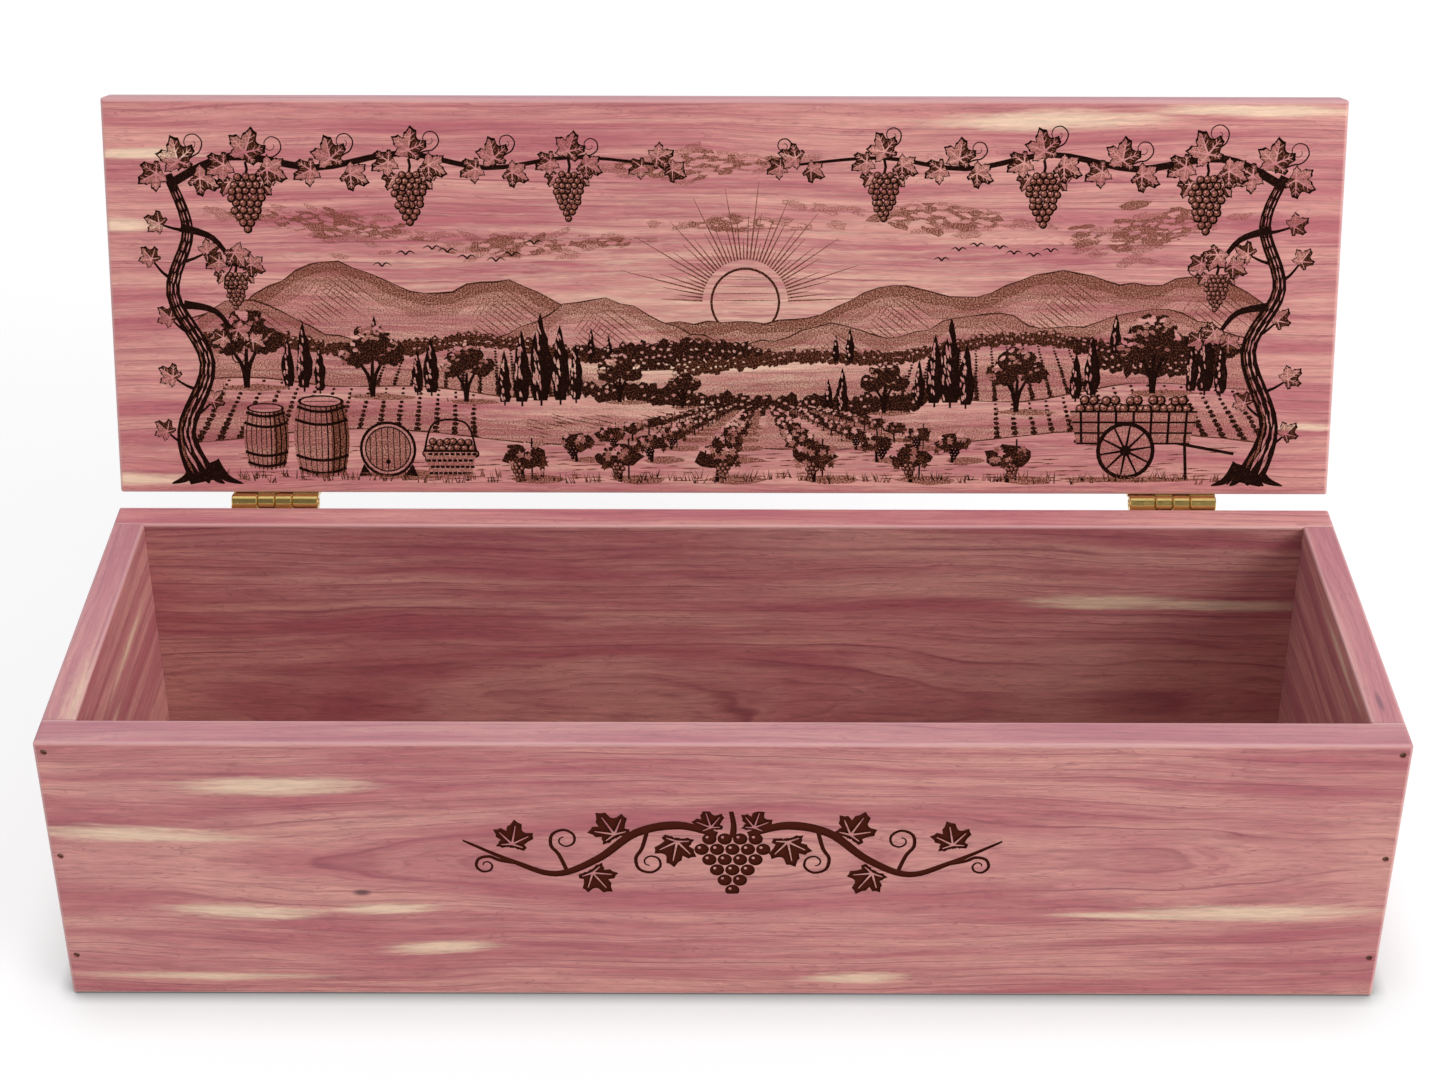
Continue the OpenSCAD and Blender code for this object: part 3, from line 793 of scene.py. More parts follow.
def hill(art, line, foot, washes, ink=0.7):
    """A hill that hides what is behind it. Its washes go from its foot to its crest."""
    flanks = []
    for (end, top), stock in ((line[0], LEFT_STOCK), (line[-1], RIGHT_STOCK)):
        steps = max(2, int((top - foot) / 3))
        heights = [foot + (top - foot) * i / steps for i in range(steps + 1)]
        framed = abs(end - stock_at(stock, top)) < 9
        flanks.append([(stock_at(stock, h) if framed else end, h) for h in heights])
    art.shape([*flanks[0], *line[1:-1], *flanks[1][::-1]], washes[0])
    for k, wash in enumerate(washes[1:], 1):
        drop = 3.4 * (len(washes) - k)
        under = [(x, max(foot, y - drop - art.near(0.0, 0.9))) for x, y in line]
        art.shape([*under[1:-1], *line[1:-1][::-1]], wash)
    widths = tuple(art.rng.uniform(0.16, 0.55) for _ in line)
    art.stroke(line, widths, ink)


def grove(art, line, left, right, size, rows, heat):
    """Trees in rows down a slope from its crest, with lit tops."""
    for row in range(rows):
        x = left + art.near(size * row, size)
        while x < right - size * row:
            tall = size * art.rng.uniform(0.8, 1.6)
            y = height_at(line, x) - row * size * 0.85 + art.near(0, size * 0.2)
            art.dab(x, y + tall * 0.3, size * 0.66, tall * 0.62, heat, 0, 7, 0.3)
            if art.rng.random() < 0.6:
                art.dab(x - size * 0.15, y + tall * 0.6, size * 0.24, tall * 0.14, 0.3,
                        art.near(0, 0.6), 5, 0.4)
            x += size * art.rng.uniform(0.6, 1.1)


def vine_row(art, start, end, size, count, gone):
    """A staked row that runs from near to far, and shrinks to that part: a dark hedge with lit leaves."""
    def place(t):
        """A vine's foot and size. Even steps on the ground crowd together towards the horizon."""
        scale = 1 / (1 + (1 / gone - 1) * t)
        far = (1 - scale) / (1 - gone)
        return start[0] + (end[0] - start[0]) * far, start[1] + (end[1] - start[1]) * far, size * scale

    for i in reversed(range(count)):
        x, y, s = place(i / (count - 1))
        art.dab(x + 0.6 * s, y, s * 1.0, s * 0.16, CAST, 0, 8, 0.2)
        art.stroke([(x, y - s * 0.08), (x + art.near(0, 0.1 * s), y + s * 0.7)], (s * 0.15, s * 0.08), LINE)
        if i % 2 == 0:
            art.stroke([(x + 0.3 * s, y), (x + 0.3 * s, y + s * 1.45)], max(0.2, s * 0.06), LINE)
        art.dab(x, y + s * 0.82, s * 0.74, s * 0.40, DARK, 0, 14 if s > 3 else 8, 0.22)
        if s < 1.6:
            art.dab(x - 0.25 * s, y + s * 1.0, s * 0.34, s * 0.16, 0.2, 0, 5, 0.2)
            continue
        close = s > 3.5
        for _ in range(14 if close else 6):
            u, v = art.near(0, 0.72), art.near(0, 0.42)
            lit = v * 1.6 - u * 0.5 + art.near(0, 0.3)
            heat = 0.12 if lit > 0.35 else 0.45 if lit > -0.1 else 0.74
            px, py = x + u * s, y + s * (0.84 + v)
            if close:
                art.shape(turned(LITTLE_LEAF, px, py, s * 0.21, art.near(0, 3.14)), heat)
            else:
                art.dab(px, py, s * 0.20, s * 0.14, heat, art.near(0, 0.8), 5, 0.3)
        if s > 5:
            grapes(art, x + art.near(0, 0.25 * s), y + s * 0.52, 0.085 * s, (2, 3, 2, 1))


def barrel(art, x, y, width, height):
    """An upright cask with staves and hoops."""
    def flank(t, side):
        """Where its side is at a part of its height. 1 is its right edge, -1 its left."""
        return x + side * width / 2 * (0.82 + 0.18 * math.sin(math.pi * t))

    steps = [i / 8 for i in range(9)]
    sag = 0.10 * width
    right_side = [(flank(t, 1), y + height * t) for t in steps[::-1]]
    left_side = [(flank(t, -1), y + height * t) for t in steps]
    art.shape([*left_side, *right_side, (x, y - sag)], PLANK)
    shade = [(flank(t, 0.35), y + height * t) for t in steps]
    art.shape(shade + right_side, 0.62)
    for k in range(-4, 5):
        part = k / 4.5
        edge = [(x + (flank(t, 1) - x) * part, y + height * t - sag * (1 - part**2)) for t in steps[::2]]
        art.stroke(edge, 0.24 if k <= 0 else 0.42, LINE)
    for t in (0.07, 0.25, 0.75, 0.93):
        hoop = [(x + (flank(t, 1) - x) * side, y + height * t - sag * (1 - side**2))
                for side in (-1, -0.6, -0.2, 0.2, 0.6, 1)]
        art.stroke(hoop, 0.85, LINE, steps=2)
    for rx, ry, heat in ((0.42, 1.15, LINE), (0.36, 0.85, 0.25)):
        art.dab(x, y + height, width * rx, sag * ry, heat, 0, 16, 0.0)
    art.stroke([(x - width * 0.3, y + height), (x + width * 0.3, y + height)], 0.2, 0.8)


def cask_end(art, x, y, radius):
    """The round head of a cask that lies on its side, with its planks and hoop."""
    art.dab(x + radius * 0.9, y - radius * 0.9, radius * 1.5, radius * 0.16, CAST, 0, 12, 0.2)
    for reach, heat in ((1.0, LINE), (0.90, 0.30), (0.82, LINE), (0.77, 0.45)):
        art.dab(x, y, radius * reach, radius * reach, heat, 0, 26, 0.0)
    for k in range(-3, 4):
        u = 0.77 * radius * k / 3.7
        half = math.sqrt((0.76 * radius) ** 2 - u * u)
        art.stroke([(x + u, y - half), (x + u, y + half)], 0.26, LINE)
    art.dab(x, y - radius * 0.45, radius * 0.09, radius * 0.09, LINE, 0, 9, 0.0)
    for side in (-1, 1):
        wedge = ((0.55, -0.98), (1.05, -0.98), (0.86, -0.52))
        art.shape([(x + side * radius * u, y + radius * v) for u, v in wedge], LINE)


def basket(art, x, y, width):
    """A picker's basket heaped with grapes."""
    height = width * 0.5
    for k in range(3):
        grapes(art, x + (k - 1) * width * 0.27, y + height + width * 0.17, width * 0.075, (2, 3, 4, 3))
    art.shape([(x - width * 0.40, y), (x + width * 0.40, y), (x + width * 0.5, y + height),
               (x - width * 0.5, y + height)], PLANK)
    for row in range(4):
        level = y + height * (row + 0.5) / 4
        half = width * (0.41 + 0.022 * row)
        for k in range(9):
            at = x - half + 2 * half * (k + 0.5 * (row % 2)) / 9
            art.stroke([(at, level), (at + width * 0.075, level)], width * 0.05, LINE)
    art.stroke([(x - width * 0.52, y + height), (x + width * 0.52, y + height)], 0.7, LINE)
    handle = ((-0.5, 1.0), (-0.3, 2.1), (0.3, 2.1), (0.5, 1.0))
    art.stroke([(x + width * u, y + height * v) for u, v in handle], 0.6, LINE, steps=6)


def cart(art, x, y, width):
    """A two-wheeled handcart with a slatted box, full of grapes."""
    radius = width * 0.25
    low, high = y + radius * 1.25, y + radius * 2.35
    art.dab(x, y, width * 0.62, 0.8, CAST, 0, 14, 0.2)
    pole = [(x + width * 0.86, y + radius * 0.9), (x + width * 0.3, low + 0.6),
            (x - width * 0.5, low + 0.6)]
    art.stroke(pole, 0.9, LINE)
    art.stroke([(x + width * 0.44, low), (x + width * 0.46, y)], 0.9, LINE)
    for k in range(5):
        grapes(art, x + (k - 2) * width * 0.19, high + width * 0.09, width * 0.042, (2, 3, 4, 4))
    art.shape([(x - width * 0.48, low), (x + width * 0.48, low),
               (x + width * 0.54, high), (x - width * 0.54, high)], PLANK)
    for k in range(4):
        level = low + (high - low) * k / 3
        half = width * (0.48 + 0.02 * k)
        art.stroke([(x - half, level), (x + half, level)], 0.55, LINE)
    for k in range(7):
        at = x + width * 0.15 * (k - 3)
        art.stroke([(at * 0.97 + x * 0.03, low - 0.3), (at, high + 0.3)], 0.75, LINE)
    wx, wy = x - width * 0.06, y + radius
    for reach, heat in ((1.0, LINE), (0.86, 0.35)):
        art.dab(wx, wy, radius * reach, radius * reach, heat, 0, 26, 0.0)
    for k in range(10):
        u, v = polar(36 * k + 9, radius * 0.9)
        art.stroke([(wx, wy), (wx + u, wy + v)], (0.8, 0.5), LINE)
    art.dab(wx, wy, radius * 0.2, radius * 0.2, LINE, 0, 10, 0.0)


def gnarled_vine(art, points, widths):
    """An old vine stock with furrowed bark, and roots that spread at its foot."""
    (x, y), foot = points[0], widths[0]
    for lean in (-1.1, -0.5, 0.1, 0.6, 1.2):
        art.stroke([(x + lean * foot * 0.2, y + foot * 0.7), (x + lean * foot * 0.55, y + foot * 0.22),
                    (x + lean * foot, y + 0.2)], (foot * 0.5, foot * 0.26, 0.3), LINE, steps=4)
    art.stroke(points, widths, LINE, steps=6)
    path = smooth(points, 6)
    for i in range(2, len(path) - 3):
        half = sample(widths, i / (len(path) - 1)) / 2
        for side in (-0.45, 0.1, 0.5):
            a, b = path[i], path[i + 1]
            run = Vector((b[0] - a[0], b[1] - a[1])).normalized()
            shift = half * art.near(side, 0.15)
            start = (a[0] - run.y * shift, a[1] + run.x * shift)
            end = (start[0] + run.x * half * 1.5, start[1] + run.y * half * 1.5)
            middle = ((start[0] + end[0]) / 2, (start[1] + end[1]) / 2)
            heat = 0.25 if side < 0.2 else 0.6
            art.stroke([start, middle, end], (0.1, half * 0.22, 0.1), heat)


def flock(art, x, y, count, size):
    """Birds in a long wavering line."""
    for i in range(count):
        bx = x + i * size * 2.3 + art.near(0, size * 0.5)
        by = y + math.sin(i * 0.9) * size * 1.2 + i * size * 0.35
        for side in (-1, 1):
            wing = [(bx, by), (bx + side * size * 0.45, by + size * 0.42),
                    (bx + side * size * 1.05, by + size * 0.12)]
            art.stroke(wing, (0.50, 0.42, 0.10), LINE, steps=3)


def sunrise(art, x, y, radius):
    """A low sun with long and short rays."""
    for i in range(44):
        angle = 180 * (i + 0.5) / 44
        reach = radius * (3.4 if i % 4 == 0 else 2.4 if i % 2 else 1.8) * art.rng.uniform(0.92, 1.08)
        inner, outer = polar(angle, radius * 1.22), polar(angle, reach)
        art.stroke([(x + inner[0], y + inner[1]), (x + outer[0], y + outer[1])], (0.5, 0.12), 0.62)
    art.dab(x, y, radius, radius, 0.75, 0, 30, 0.0)
    art.dab(x, y, radius * 0.93, radius * 0.93, BARE, 0, 30, 0.0)
    for k in range(1, 5):
        level = radius * (k / 5 - 0.15)
        half = math.sqrt(max(0.0, (radius * 0.9) ** 2 - level**2))
        across = [(at, y + level) for at in (x - half, x, x + half)]
        art.stroke(across, (0.1, 0.4 - 0.05 * k, 0.1), 0.5)


# ---------------------------------------------------------------- picture and ornament


PICTURE_FIELD = (-168.0, 168.0, 2.4, 107.0)     # left, right, lowest and highest, in mm on the lid
PICTURE_FOOT = 4.5                              # mm above the hinge edge


def sky(art):
    """Drifting clouds, the sun and lines of birds."""
    for x, y, length, height, slope, count in (
        (-112, 78, 62, 13, -0.10, 75), (-56, 72, 70, 8, 0.05, 55), (-8, 95, 56, 10, 0.05, 60),
        (118, 76, 60, 14, 0.16, 80), (62, 80, 66, 9, -0.08, 60), (4, 78, 44, 5, 0.0, 26),
    ):
        cloud(art, x, y, length, height, slope, count)
    sunrise(art, 6, 56, 10)
    flock(art, -96, 66, 8, 2.6)
    flock(art, 62, 68, 7, 2.2)


def mountains(art):
    """Two far ridges in washes that pale towards their feet, shaded on one side."""
    for level, swells, wash in (
        (50, ((-112, 17, 24), (-64, 12, 18), (48, 11, 18), (96, 15, 26), (138, 13, 18)), 0.30),
        (44, ((-136, 13, 18), (-36, 13, 22), (30, 6, 12), (74, 9, 18), (122, 10, 22)), 0.22),
    ):
        ridge = crest(art, None, None, level, swells, 4.0)
        ridge = [(x, y + art.near(0, 0.7)) for x, y in ridge]
        hill(art, ridge, 30, (wash, wash + 0.12, wash + 0.24), 0.75)
        for at, rise, _ in swells:
            hatch(art, at + 1, level + rise - 1.5, 18, math.radians(-38), 14, -1.5, 0.62)
            hatch(art, at - 3, level + rise - 3.5, 9, math.radians(-125), 8, 1.5, 0.5)


def planted(art, line, left, right, count, fan, foot, width):
    """Rows of vines that fan out down a slope from its crest, each a string of dark tufts."""
    for i in range(count):
        t = i / (count - 1)
        top = left + (right - left) * t
        start = (top, height_at(line, top) - 0.8)
        end = (top + fan[0] + (fan[1] - fan[0]) * t, foot)
        tufts = max(4, int((start[1] - end[1]) / (width * 0.9)))
        for k in range(tufts):
            part = k / (tufts - 1)
            size = width * (0.5 + 0.75 * part)
            x = start[0] + (end[0] - start[0]) * part + art.near(0, 0.12)
            y = start[1] + (end[1] - start[1]) * part
            art.dab(x, y, size * 0.85, size * 0.62, DARK, 0, 5, 0.25)


def far_hills(art):
    """Wooded and planted hills across the middle of the valley."""
    wooded = crest(art, None, 44, 38, ((-138, 8, 30), (-70, 7, 26), (-10, 5, 24)))
    hill(art, wooded, 20, (0.40, 0.30, 0.18))
    grove(art, wooded, -148, 40, 1.9, 2, 0.74)
    planted(art, wooded, -96, -44, 13, (-5, 5), 28, 0.85)
    grove(art, wooded, -40, 10, 2.2, 4, DARK)
    rolling = crest(art, -30, None, 36, ((22, 4, 26), (86, 10, 34), (150, 6, 26)))
    hill(art, rolling, 20, (0.36, 0.26, 0.14))
    grove(art, rolling, -14, 148, 1.8, 2, 0.74)
    planted(art, rolling, 46, 98, 13, (-6, 7), 28, 0.85)
    grove(art, rolling, 100, 148, 2.3, 4, DARK)
    for x, tall in ((-38, 9), (-33, 7), (32, 8), (36, 10), (112, 12), (116, 9), (120, 7), (-104, 9),
                    (-100, 12)):
        cypress(art, x, height_at(wooded if x < 0 else rolling, x) - 1.5, tall)


def middle_hills(art):
    """Nearer slopes with rows of vines, cypresses and spreading trees."""
    left = crest(art, None, 40, 26, ((-140, 8, 30), (-88, 5, 26), (-30, 4, 24)))
    hill(art, left, 8, (0.34, 0.20, BARE))
    grove(art, left, -40, 36, 2.6, 2, DARK)
    planted(art, left, -142, -72, 15, (-10, 0), 14, 1.3)
    for _ in range(30):
        x = art.rng.uniform(-62, 16)
        hatch(art, x, height_at(left, x) - 5 - art.rng.uniform(0, 6), 5, math.radians(-14), 2, -1.1, 0.6)
    right = crest(art, 12, None, 25, ((60, 3, 20), (122, 8, 30), (165, 5, 20)))
    hill(art, right, 8, (0.34, 0.20, BARE))
    grove(art, right, 18, 60, 2.6, 2, DARK)
    planted(art, right, 78, 146, 15, (1, 11), 14, 1.3)
    for x, tall in ((-63, 16), (-58, 22), (-52.5, 27), (-47, 23), (-42.5, 17), (56, 14), (60.5, 21),
                    (65, 26), (69.5, 19), (101, 14), (105.5, 18), (-125, 15), (-120.5, 20), (-116, 14),
                    (30, 11), (34, 14), (134, 15), (138, 21), (142.5, 15), (-88, 13), (-84, 17)):
        cypress(art, x, height_at(left if x < 15 else right, x) - 2.4, tall)
    for x, tall in ((-137, 24), (-101, 22), (-74, 18), (-30, 15), (-12, 12), (46, 16), (84, 20), (123, 24)):
        round_tree(art, x, height_at(left if x < 15 else right, x) - 3.0, tall)


def foreground(art):
    """Staked rows that run up the valley, casks, a basket and a cart of grapes, and rough grass."""
    near_hill = crest(art, None, None, 13, ((-104, 6, 44), (-20, 1, 30), (112, 6, 46)))
    hill(art, near_hill, PICTURE_FOOT, (BARE,))
    for x in range(-140, 146, 4):
        hatch(art, x, art.near(11, 4), 6, math.radians(2), 2, -1.3, 0.6)
    for x in (-58, -30, -2, 26, 54, 82):
        vine_row(art, (x, 4.2), (11 + (x - 12) * 0.20, 24.5), 8.4, 17, 0.17)
    barrel(art, -132, 8, 13, 17)
    barrel(art, -116, 6, 16, 21)
    cask_end(art, -97, 13, 8.2)
    basket(art, -79, 5, 15)
    cart(art, 118, 4.5, 34)
    for x in range(-144, 148, 3):
        grass(art, art.near(x, 2), art.near(PICTURE_FOOT - 0.6, 1.0), 1.4, 5, 3.2)
        if x % 2:
            hatch(art, x, art.near(PICTURE_FOOT, 0.8), 6, 0.0, 2, 0.9, 0.6)


def spray(art, x, y, size, angle, bunch):
    """What grows at a joint of the cane: leaves on both sides, a tendril and perhaps a hanging bunch."""
    if bunch:
        for side in (-1, 1):
            vine_leaf(art, x + side * size * 0.62, y - size * 0.75, size * 0.6, math.radians(-90 + side * 30))
        art.stroke([(x, y), (x + 0.4, y - 2), (x, y - 4)], 0.8, LINE)
        grapes(art, x, y - 4.5, bunch)
    tendril(art, x, y, size * 0.95, angle - 1.1, 1)
    vine_leaf(art, x - size * 0.8, y - size * 0.10, size * 0.82, math.radians(205))
    vine_leaf(art, x + size * 0.8, y - size * 0.25, size * 0.86, math.radians(-30))
    vine_leaf(art, x, y + size * 0.35, size, angle)


def shoot(art, x, y, hand, reach, lift, size):
    """A leaf on a stalk that grows out of the stock to one side."""
    tip = (x + hand * reach, y + lift)
    art.stroke([(x, y), (x + hand * reach * 0.5, y + lift * 0.35), tip], (1.3, 0.8, 0.5), LINE, steps=3)
    vine_leaf(art, tip[0], tip[1], size, math.atan2(lift + 2, hand * reach))


def vine_frame(art):
    """Old vines up both sides, their canes along the top, hung with leaves and ripe bunches."""
    for stock, hand in ((LEFT_STOCK, 1), (RIGHT_STOCK, -1)):
        top = stock[-1]
        for height, side, reach, lift, size in (
            (14, -1, 6, 4, 4.6), (22, 1, 7, 5, 4.4), (30, -1, 8, 4, 5.0), (46, -1, 7, 5, 4.8),
            (62, -1, 6, 6, 4.6), (67, 1, 8, 3, 4.8), (76, -1, 8, 2, 4.8),
        ):
            shoot(art, stock_at(stock, height), height, side * hand, reach, lift, size)
        gnarled_vine(art, stock, (9.0, 5.4, 4.6, 4.0, 3.4, 2.6))
        for points in (
            ((0, -3), (18, 5), (42, 2), (66, 6), (90, 2), (114, 5), (138, 3)),
            ((3, -15), (12, -18), (18, -26)), ((3, -37), (12, -39), (18, -47)),
        ):
            cane = [(top[0] + hand * u, top[1] + v) for u, v in points]
            art.stroke(cane, (2.6, 1.9, 1.4, 0.7), LINE, steps=5)
        for u, v, size, tilt, bunch in (
            (3, 1, 7.6, 100, 0), (22, 3.5, 7.6, 70, 1.18), (46, 2.0, 7.0, 100, 0), (68, 4.5, 7.0, 80, 1.10),
            (92, 2.5, 6.4, 100, 0), (113, 4.5, 6.2, 70, 0.98), (138, 3, 5.4, 20, 0),
            (18, -24, 5.6, -60, 0.76), (18, -46, 5.2, -50, 0),
        ):
            angle = math.radians(tilt if hand > 0 else 180 - tilt)
            spray(art, top[0] + hand * u, top[1] + v, size, angle, bunch)


def lid_picture():
    """A valley of vines at harvest."""
    art = Drawing(11, PICTURE_FIELD)
    for part in (sky, mountains, far_hills, middle_hills, foreground, vine_frame):
        part(art)
    return art


ORNAMENT_AT = (2.5, 48.6)      # its centre on the front, x and height, in mm
ORNAMENT_HALF = (70.0, 13.6)   # its half length and half height, in mm


def front_ornament():
    """A bunch of grapes between two scrolling vine sprigs, deep and evenly burnt."""
    cx, cy = ORNAMENT_AT
    across, up = ORNAMENT_HALF
    art = Drawing(5, (cx - across, cx + across, cy - up, cy + up))

    def placed(side, u, v, tilt=0):
        """A place on one side of the middle, and a direction there."""
        angle = math.radians(tilt)
        return cx + side * u, cy + v, angle if side > 0 else math.pi - angle

    for side in (-1, 1):
        stem = ((4, 6), (14, 9), (25, 6.5), (35, -2), (46, -7), (57, -3), (across, 4))
        art.stroke([placed(side, u, v)[:2] for u, v in stem], (1.9, 2.8, 2.4, 2.1, 1.6, 0.6), CHAR, steps=7)
        for u, v, size, tilt, hand in (
            (22, 7.5, 8.8, -68, -1), (43, -6.5, 8.8, 62, 1), (56, -3.5, 6.8, 20, -1),
        ):
            x, y, angle = placed(side, u, v, tilt)
            tendril(art, x, y, size, angle, hand * side, bold=2.3)
        for u, v, size, tilt in (
            (14.5, 2.8, 7.6, -80), (31, 6.8, 7.6, 60), (36, -7.4, 7.2, -125), (57, 3.6, 7.2, 100),
            (5.8, 9.0, 5.8, 75),
        ):
            x, y, angle = placed(side, u, v, tilt)
            sprig_leaf(art, x, y, size, angle)
    for row, count in enumerate((4, 5, 4, 3, 2, 1)):
        for i in range(count):
            x, y = cx + (i - (count - 1) / 2) * 4.0, cy + 4.6 - row * 3.4
            art.dab(x, y, 1.9, 1.9, CHAR, sides=20, rough=0.0)
            art.dab(x - 0.6, y + 0.6, 0.42, 0.42, BARE, sides=8, rough=0.0)
    art.stroke([(cx, cy + 5), (cx + 0.3, cy + 9), (cx - 0.4, cy + up)], (2.0, 1.5, 1.2), CHAR, steps=3)
    return art


def sprig_leaf(art, x, y, size, angle):
    """A solid vine leaf with its veins left standing."""
    art.shape(turned(leaf_outline(), x, y, size, angle), CHAR)
    for lobe, reach in LEAF_LOBES:
        vein = turned([(-0.12, 0.0), polar(lobe, 0.72 * reach)], x, y, size, angle)
        art.stroke(vein, (0.08 * size, 0.03 * size), BARE)


# ---------------------------------------------------------------- carving


ORNAMENT_DEPTH = 0.5      # mm
PICTURE_DEPTH = 0.22      # mm, at full heat
DEPTH_STEPS = 5           # even steps from bare wood to full heat
WELD = 1e-4               # mm, corners of the board nearer than this are one
SNAP = 1e-5               # mm, the same for corners of the drawing


def depth_at(heat, deepest):
    """How far a heat eats into the wood, in mm, in a few even steps."""
    return 0.0 if heat <= COLOUR_ONLY else deepest * round(heat * DEPTH_STEPS) / DEPTH_STEPS


def loops(edges):
    """Closed runs of vertices round the open edges of a mesh."""
    beside = {}
    for edge in edges:
        for vert in edge.verts:
            beside.setdefault(vert, []).append(edge.other_vert(vert))
    runs = []
    while beside:
        start = next(iter(beside))
        run = [start]
        previous, here = None, start
        while True:
            ways = [v for v in beside.pop(here) if v is not previous]
            previous, here = here, ways[0]
            if here is start:
                break
            run.append(here)
        runs.append(run)
    return runs


def area_of(points):
    """Signed area of a closed outline."""
    return sum(a[0] * b[1] - b[0] * a[1] for a, b in zip(points, points[1:] + points[:1])) / 2


def counter_clockwise(points):
    """The outline, turned round if it runs clockwise."""
    return points if area_of(points) > 0 else points[::-1]


def keep_normals(data):
    """Stores the shading normals of a CAD mesh, which its flat faces and eased edges have exactly."""
    kept = data.attributes.new("kept_normal", "FLOAT_VECTOR", "CORNER")
    kept.data.foreach_set("vector", [n for corner in data.corner_normals for n in corner.vector])


def restore_normals(data):
    """Puts stored normals back. Faces made since then have none, and are shaded flat."""
    kept = data.attributes["kept_normal"]
    normals = []
    for face in data.polygons:
        for corner in face.loop_indices:
            normal = Vector(kept.data[corner].vector)
            normals.append(normal if normal.length > 0.5 else face.normal)
    data.attributes.remove(kept)
    data.shade_smooth()
    data.normals_split_custom_set(normals)


def carved(node, board, art, deepest, char):
    """The CAD board again, with the drawing cut into its show face. It stands for the node."""
    to_board = board.matrix().inverted() @ Matrix.Scale(1 / MM, 4)
    data = frame["nodes"][node].data.copy()
    keep_normals(data)
    mesh = bmesh.new()
    mesh.from_mesh(data)
    mesh.transform(to_board)
    bmesh.ops.remove_doubles(mesh, verts=mesh.verts, dist=WELD)
    show = [f for f in mesh.faces if all(abs(v.co.y) < FACE_TOLERANCE for v in f.verts)]
    if not show:
        raise RuntimeError("no flat show face was found on " + node)
    bmesh.ops.delete(mesh, geom=show, context="FACES_ONLY")
    open_edges = [e for e in mesh.edges if e.is_boundary]
    rims = [counter_clockwise([(v.co.x, v.co.z) for v in run]) for run in loops(open_edges)]
    rims.sort(key=lambda rim: -area_of(rim))
    engrave(mesh, rims, art, deepest)
    bmesh.ops.remove_doubles(mesh, verts=[v for v in mesh.verts if v.is_boundary], dist=WELD)
    bmesh.ops.recalc_face_normals(mesh, faces=mesh.faces)
    left_open = sum(edge.is_boundary for edge in mesh.edges)
    if left_open:
        raise RuntimeError(f"{left_open} edges of the carved {node} are left open")
    mesh.transform(to_board.inverted())
    mesh.to_mesh(data)
    mesh.free()
    restore_normals(data)
    piece = bpy.data.objects.new("burnt_" + node, data)
    bpy.context.scene.collection.objects.link(piece)
    data.materials.clear()
    data.materials.append(cedar("cedar_" + node, board, char))
    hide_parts(node)
    return piece


def inside(outline, points):
    """Which of the points the outline goes round, as an array of truths."""
    turns = np.zeros(len(points), dtype=int)
    for (x0, y0), (x1, y1) in zip(outline, outline[1:] + outline[:1]):
        left = (x1 - x0) * (points[:, 1] - y0) - (points[:, 0] - x0) * (y1 - y0)
        turns += (y0 <= points[:, 1]) & (points[:, 1] < y1) & (left > 0)
        turns -= (y1 <= points[:, 1]) & (points[:, 1] < y0) & (left < 0)
    return turns != 0


def painted(shapes, points):
    """The heat that the last shape over each point leaves there."""
    order = np.argsort(points[:, 0])
    ranked = points[order]
    heats = np.zeros(len(points))
    for outline, heat in shapes:
        xs, ys = zip(*outline)
        first, last = np.searchsorted(ranked[:, 0], (min(xs), max(xs)))
        near = first + np.flatnonzero((ranked[first:last, 1] > min(ys)) & (ranked[first:last, 1] < max(ys)))
        heats[near[inside(outline, ranked[near])]] = heat
    unranked = np.empty(len(points))
    unranked[order] = heats
    return unranked


def split_plane(points, edges, rims, shapes):
    """Triangles between the edges, with the heat of each, or -1 where it lies outside the wood."""
    found, _, triangles, *_ = delaunay_2d_cdt(points, edges, [], 0, SNAP, False)
    flat = np.array([(v.x, v.y) for v in found])
    centres = flat[np.array(triangles)].mean(axis=1)
    heats = painted(shapes, centres)
    heats[~inside(rims[0], centres)] = -1.0
    for hole in rims[1:]:
        heats[inside(hole, centres)] = -1.0
    return found, triangles, heats.tolist()


def edges_between(triangles, heats):
    """The edges, as vertex pairs, that part one heat from another or end the plane."""
    beside = {}
    for triangle, heat in zip(triangles, heats):
        for a, b in zip(triangle, (*triangle[1:], triangle[0])):
            beside.setdefault((min(a, b), max(a, b)), []).append(heat)
    return [edge for edge, both in beside.items() if len(both) == 1 or both[0] != both[1]]


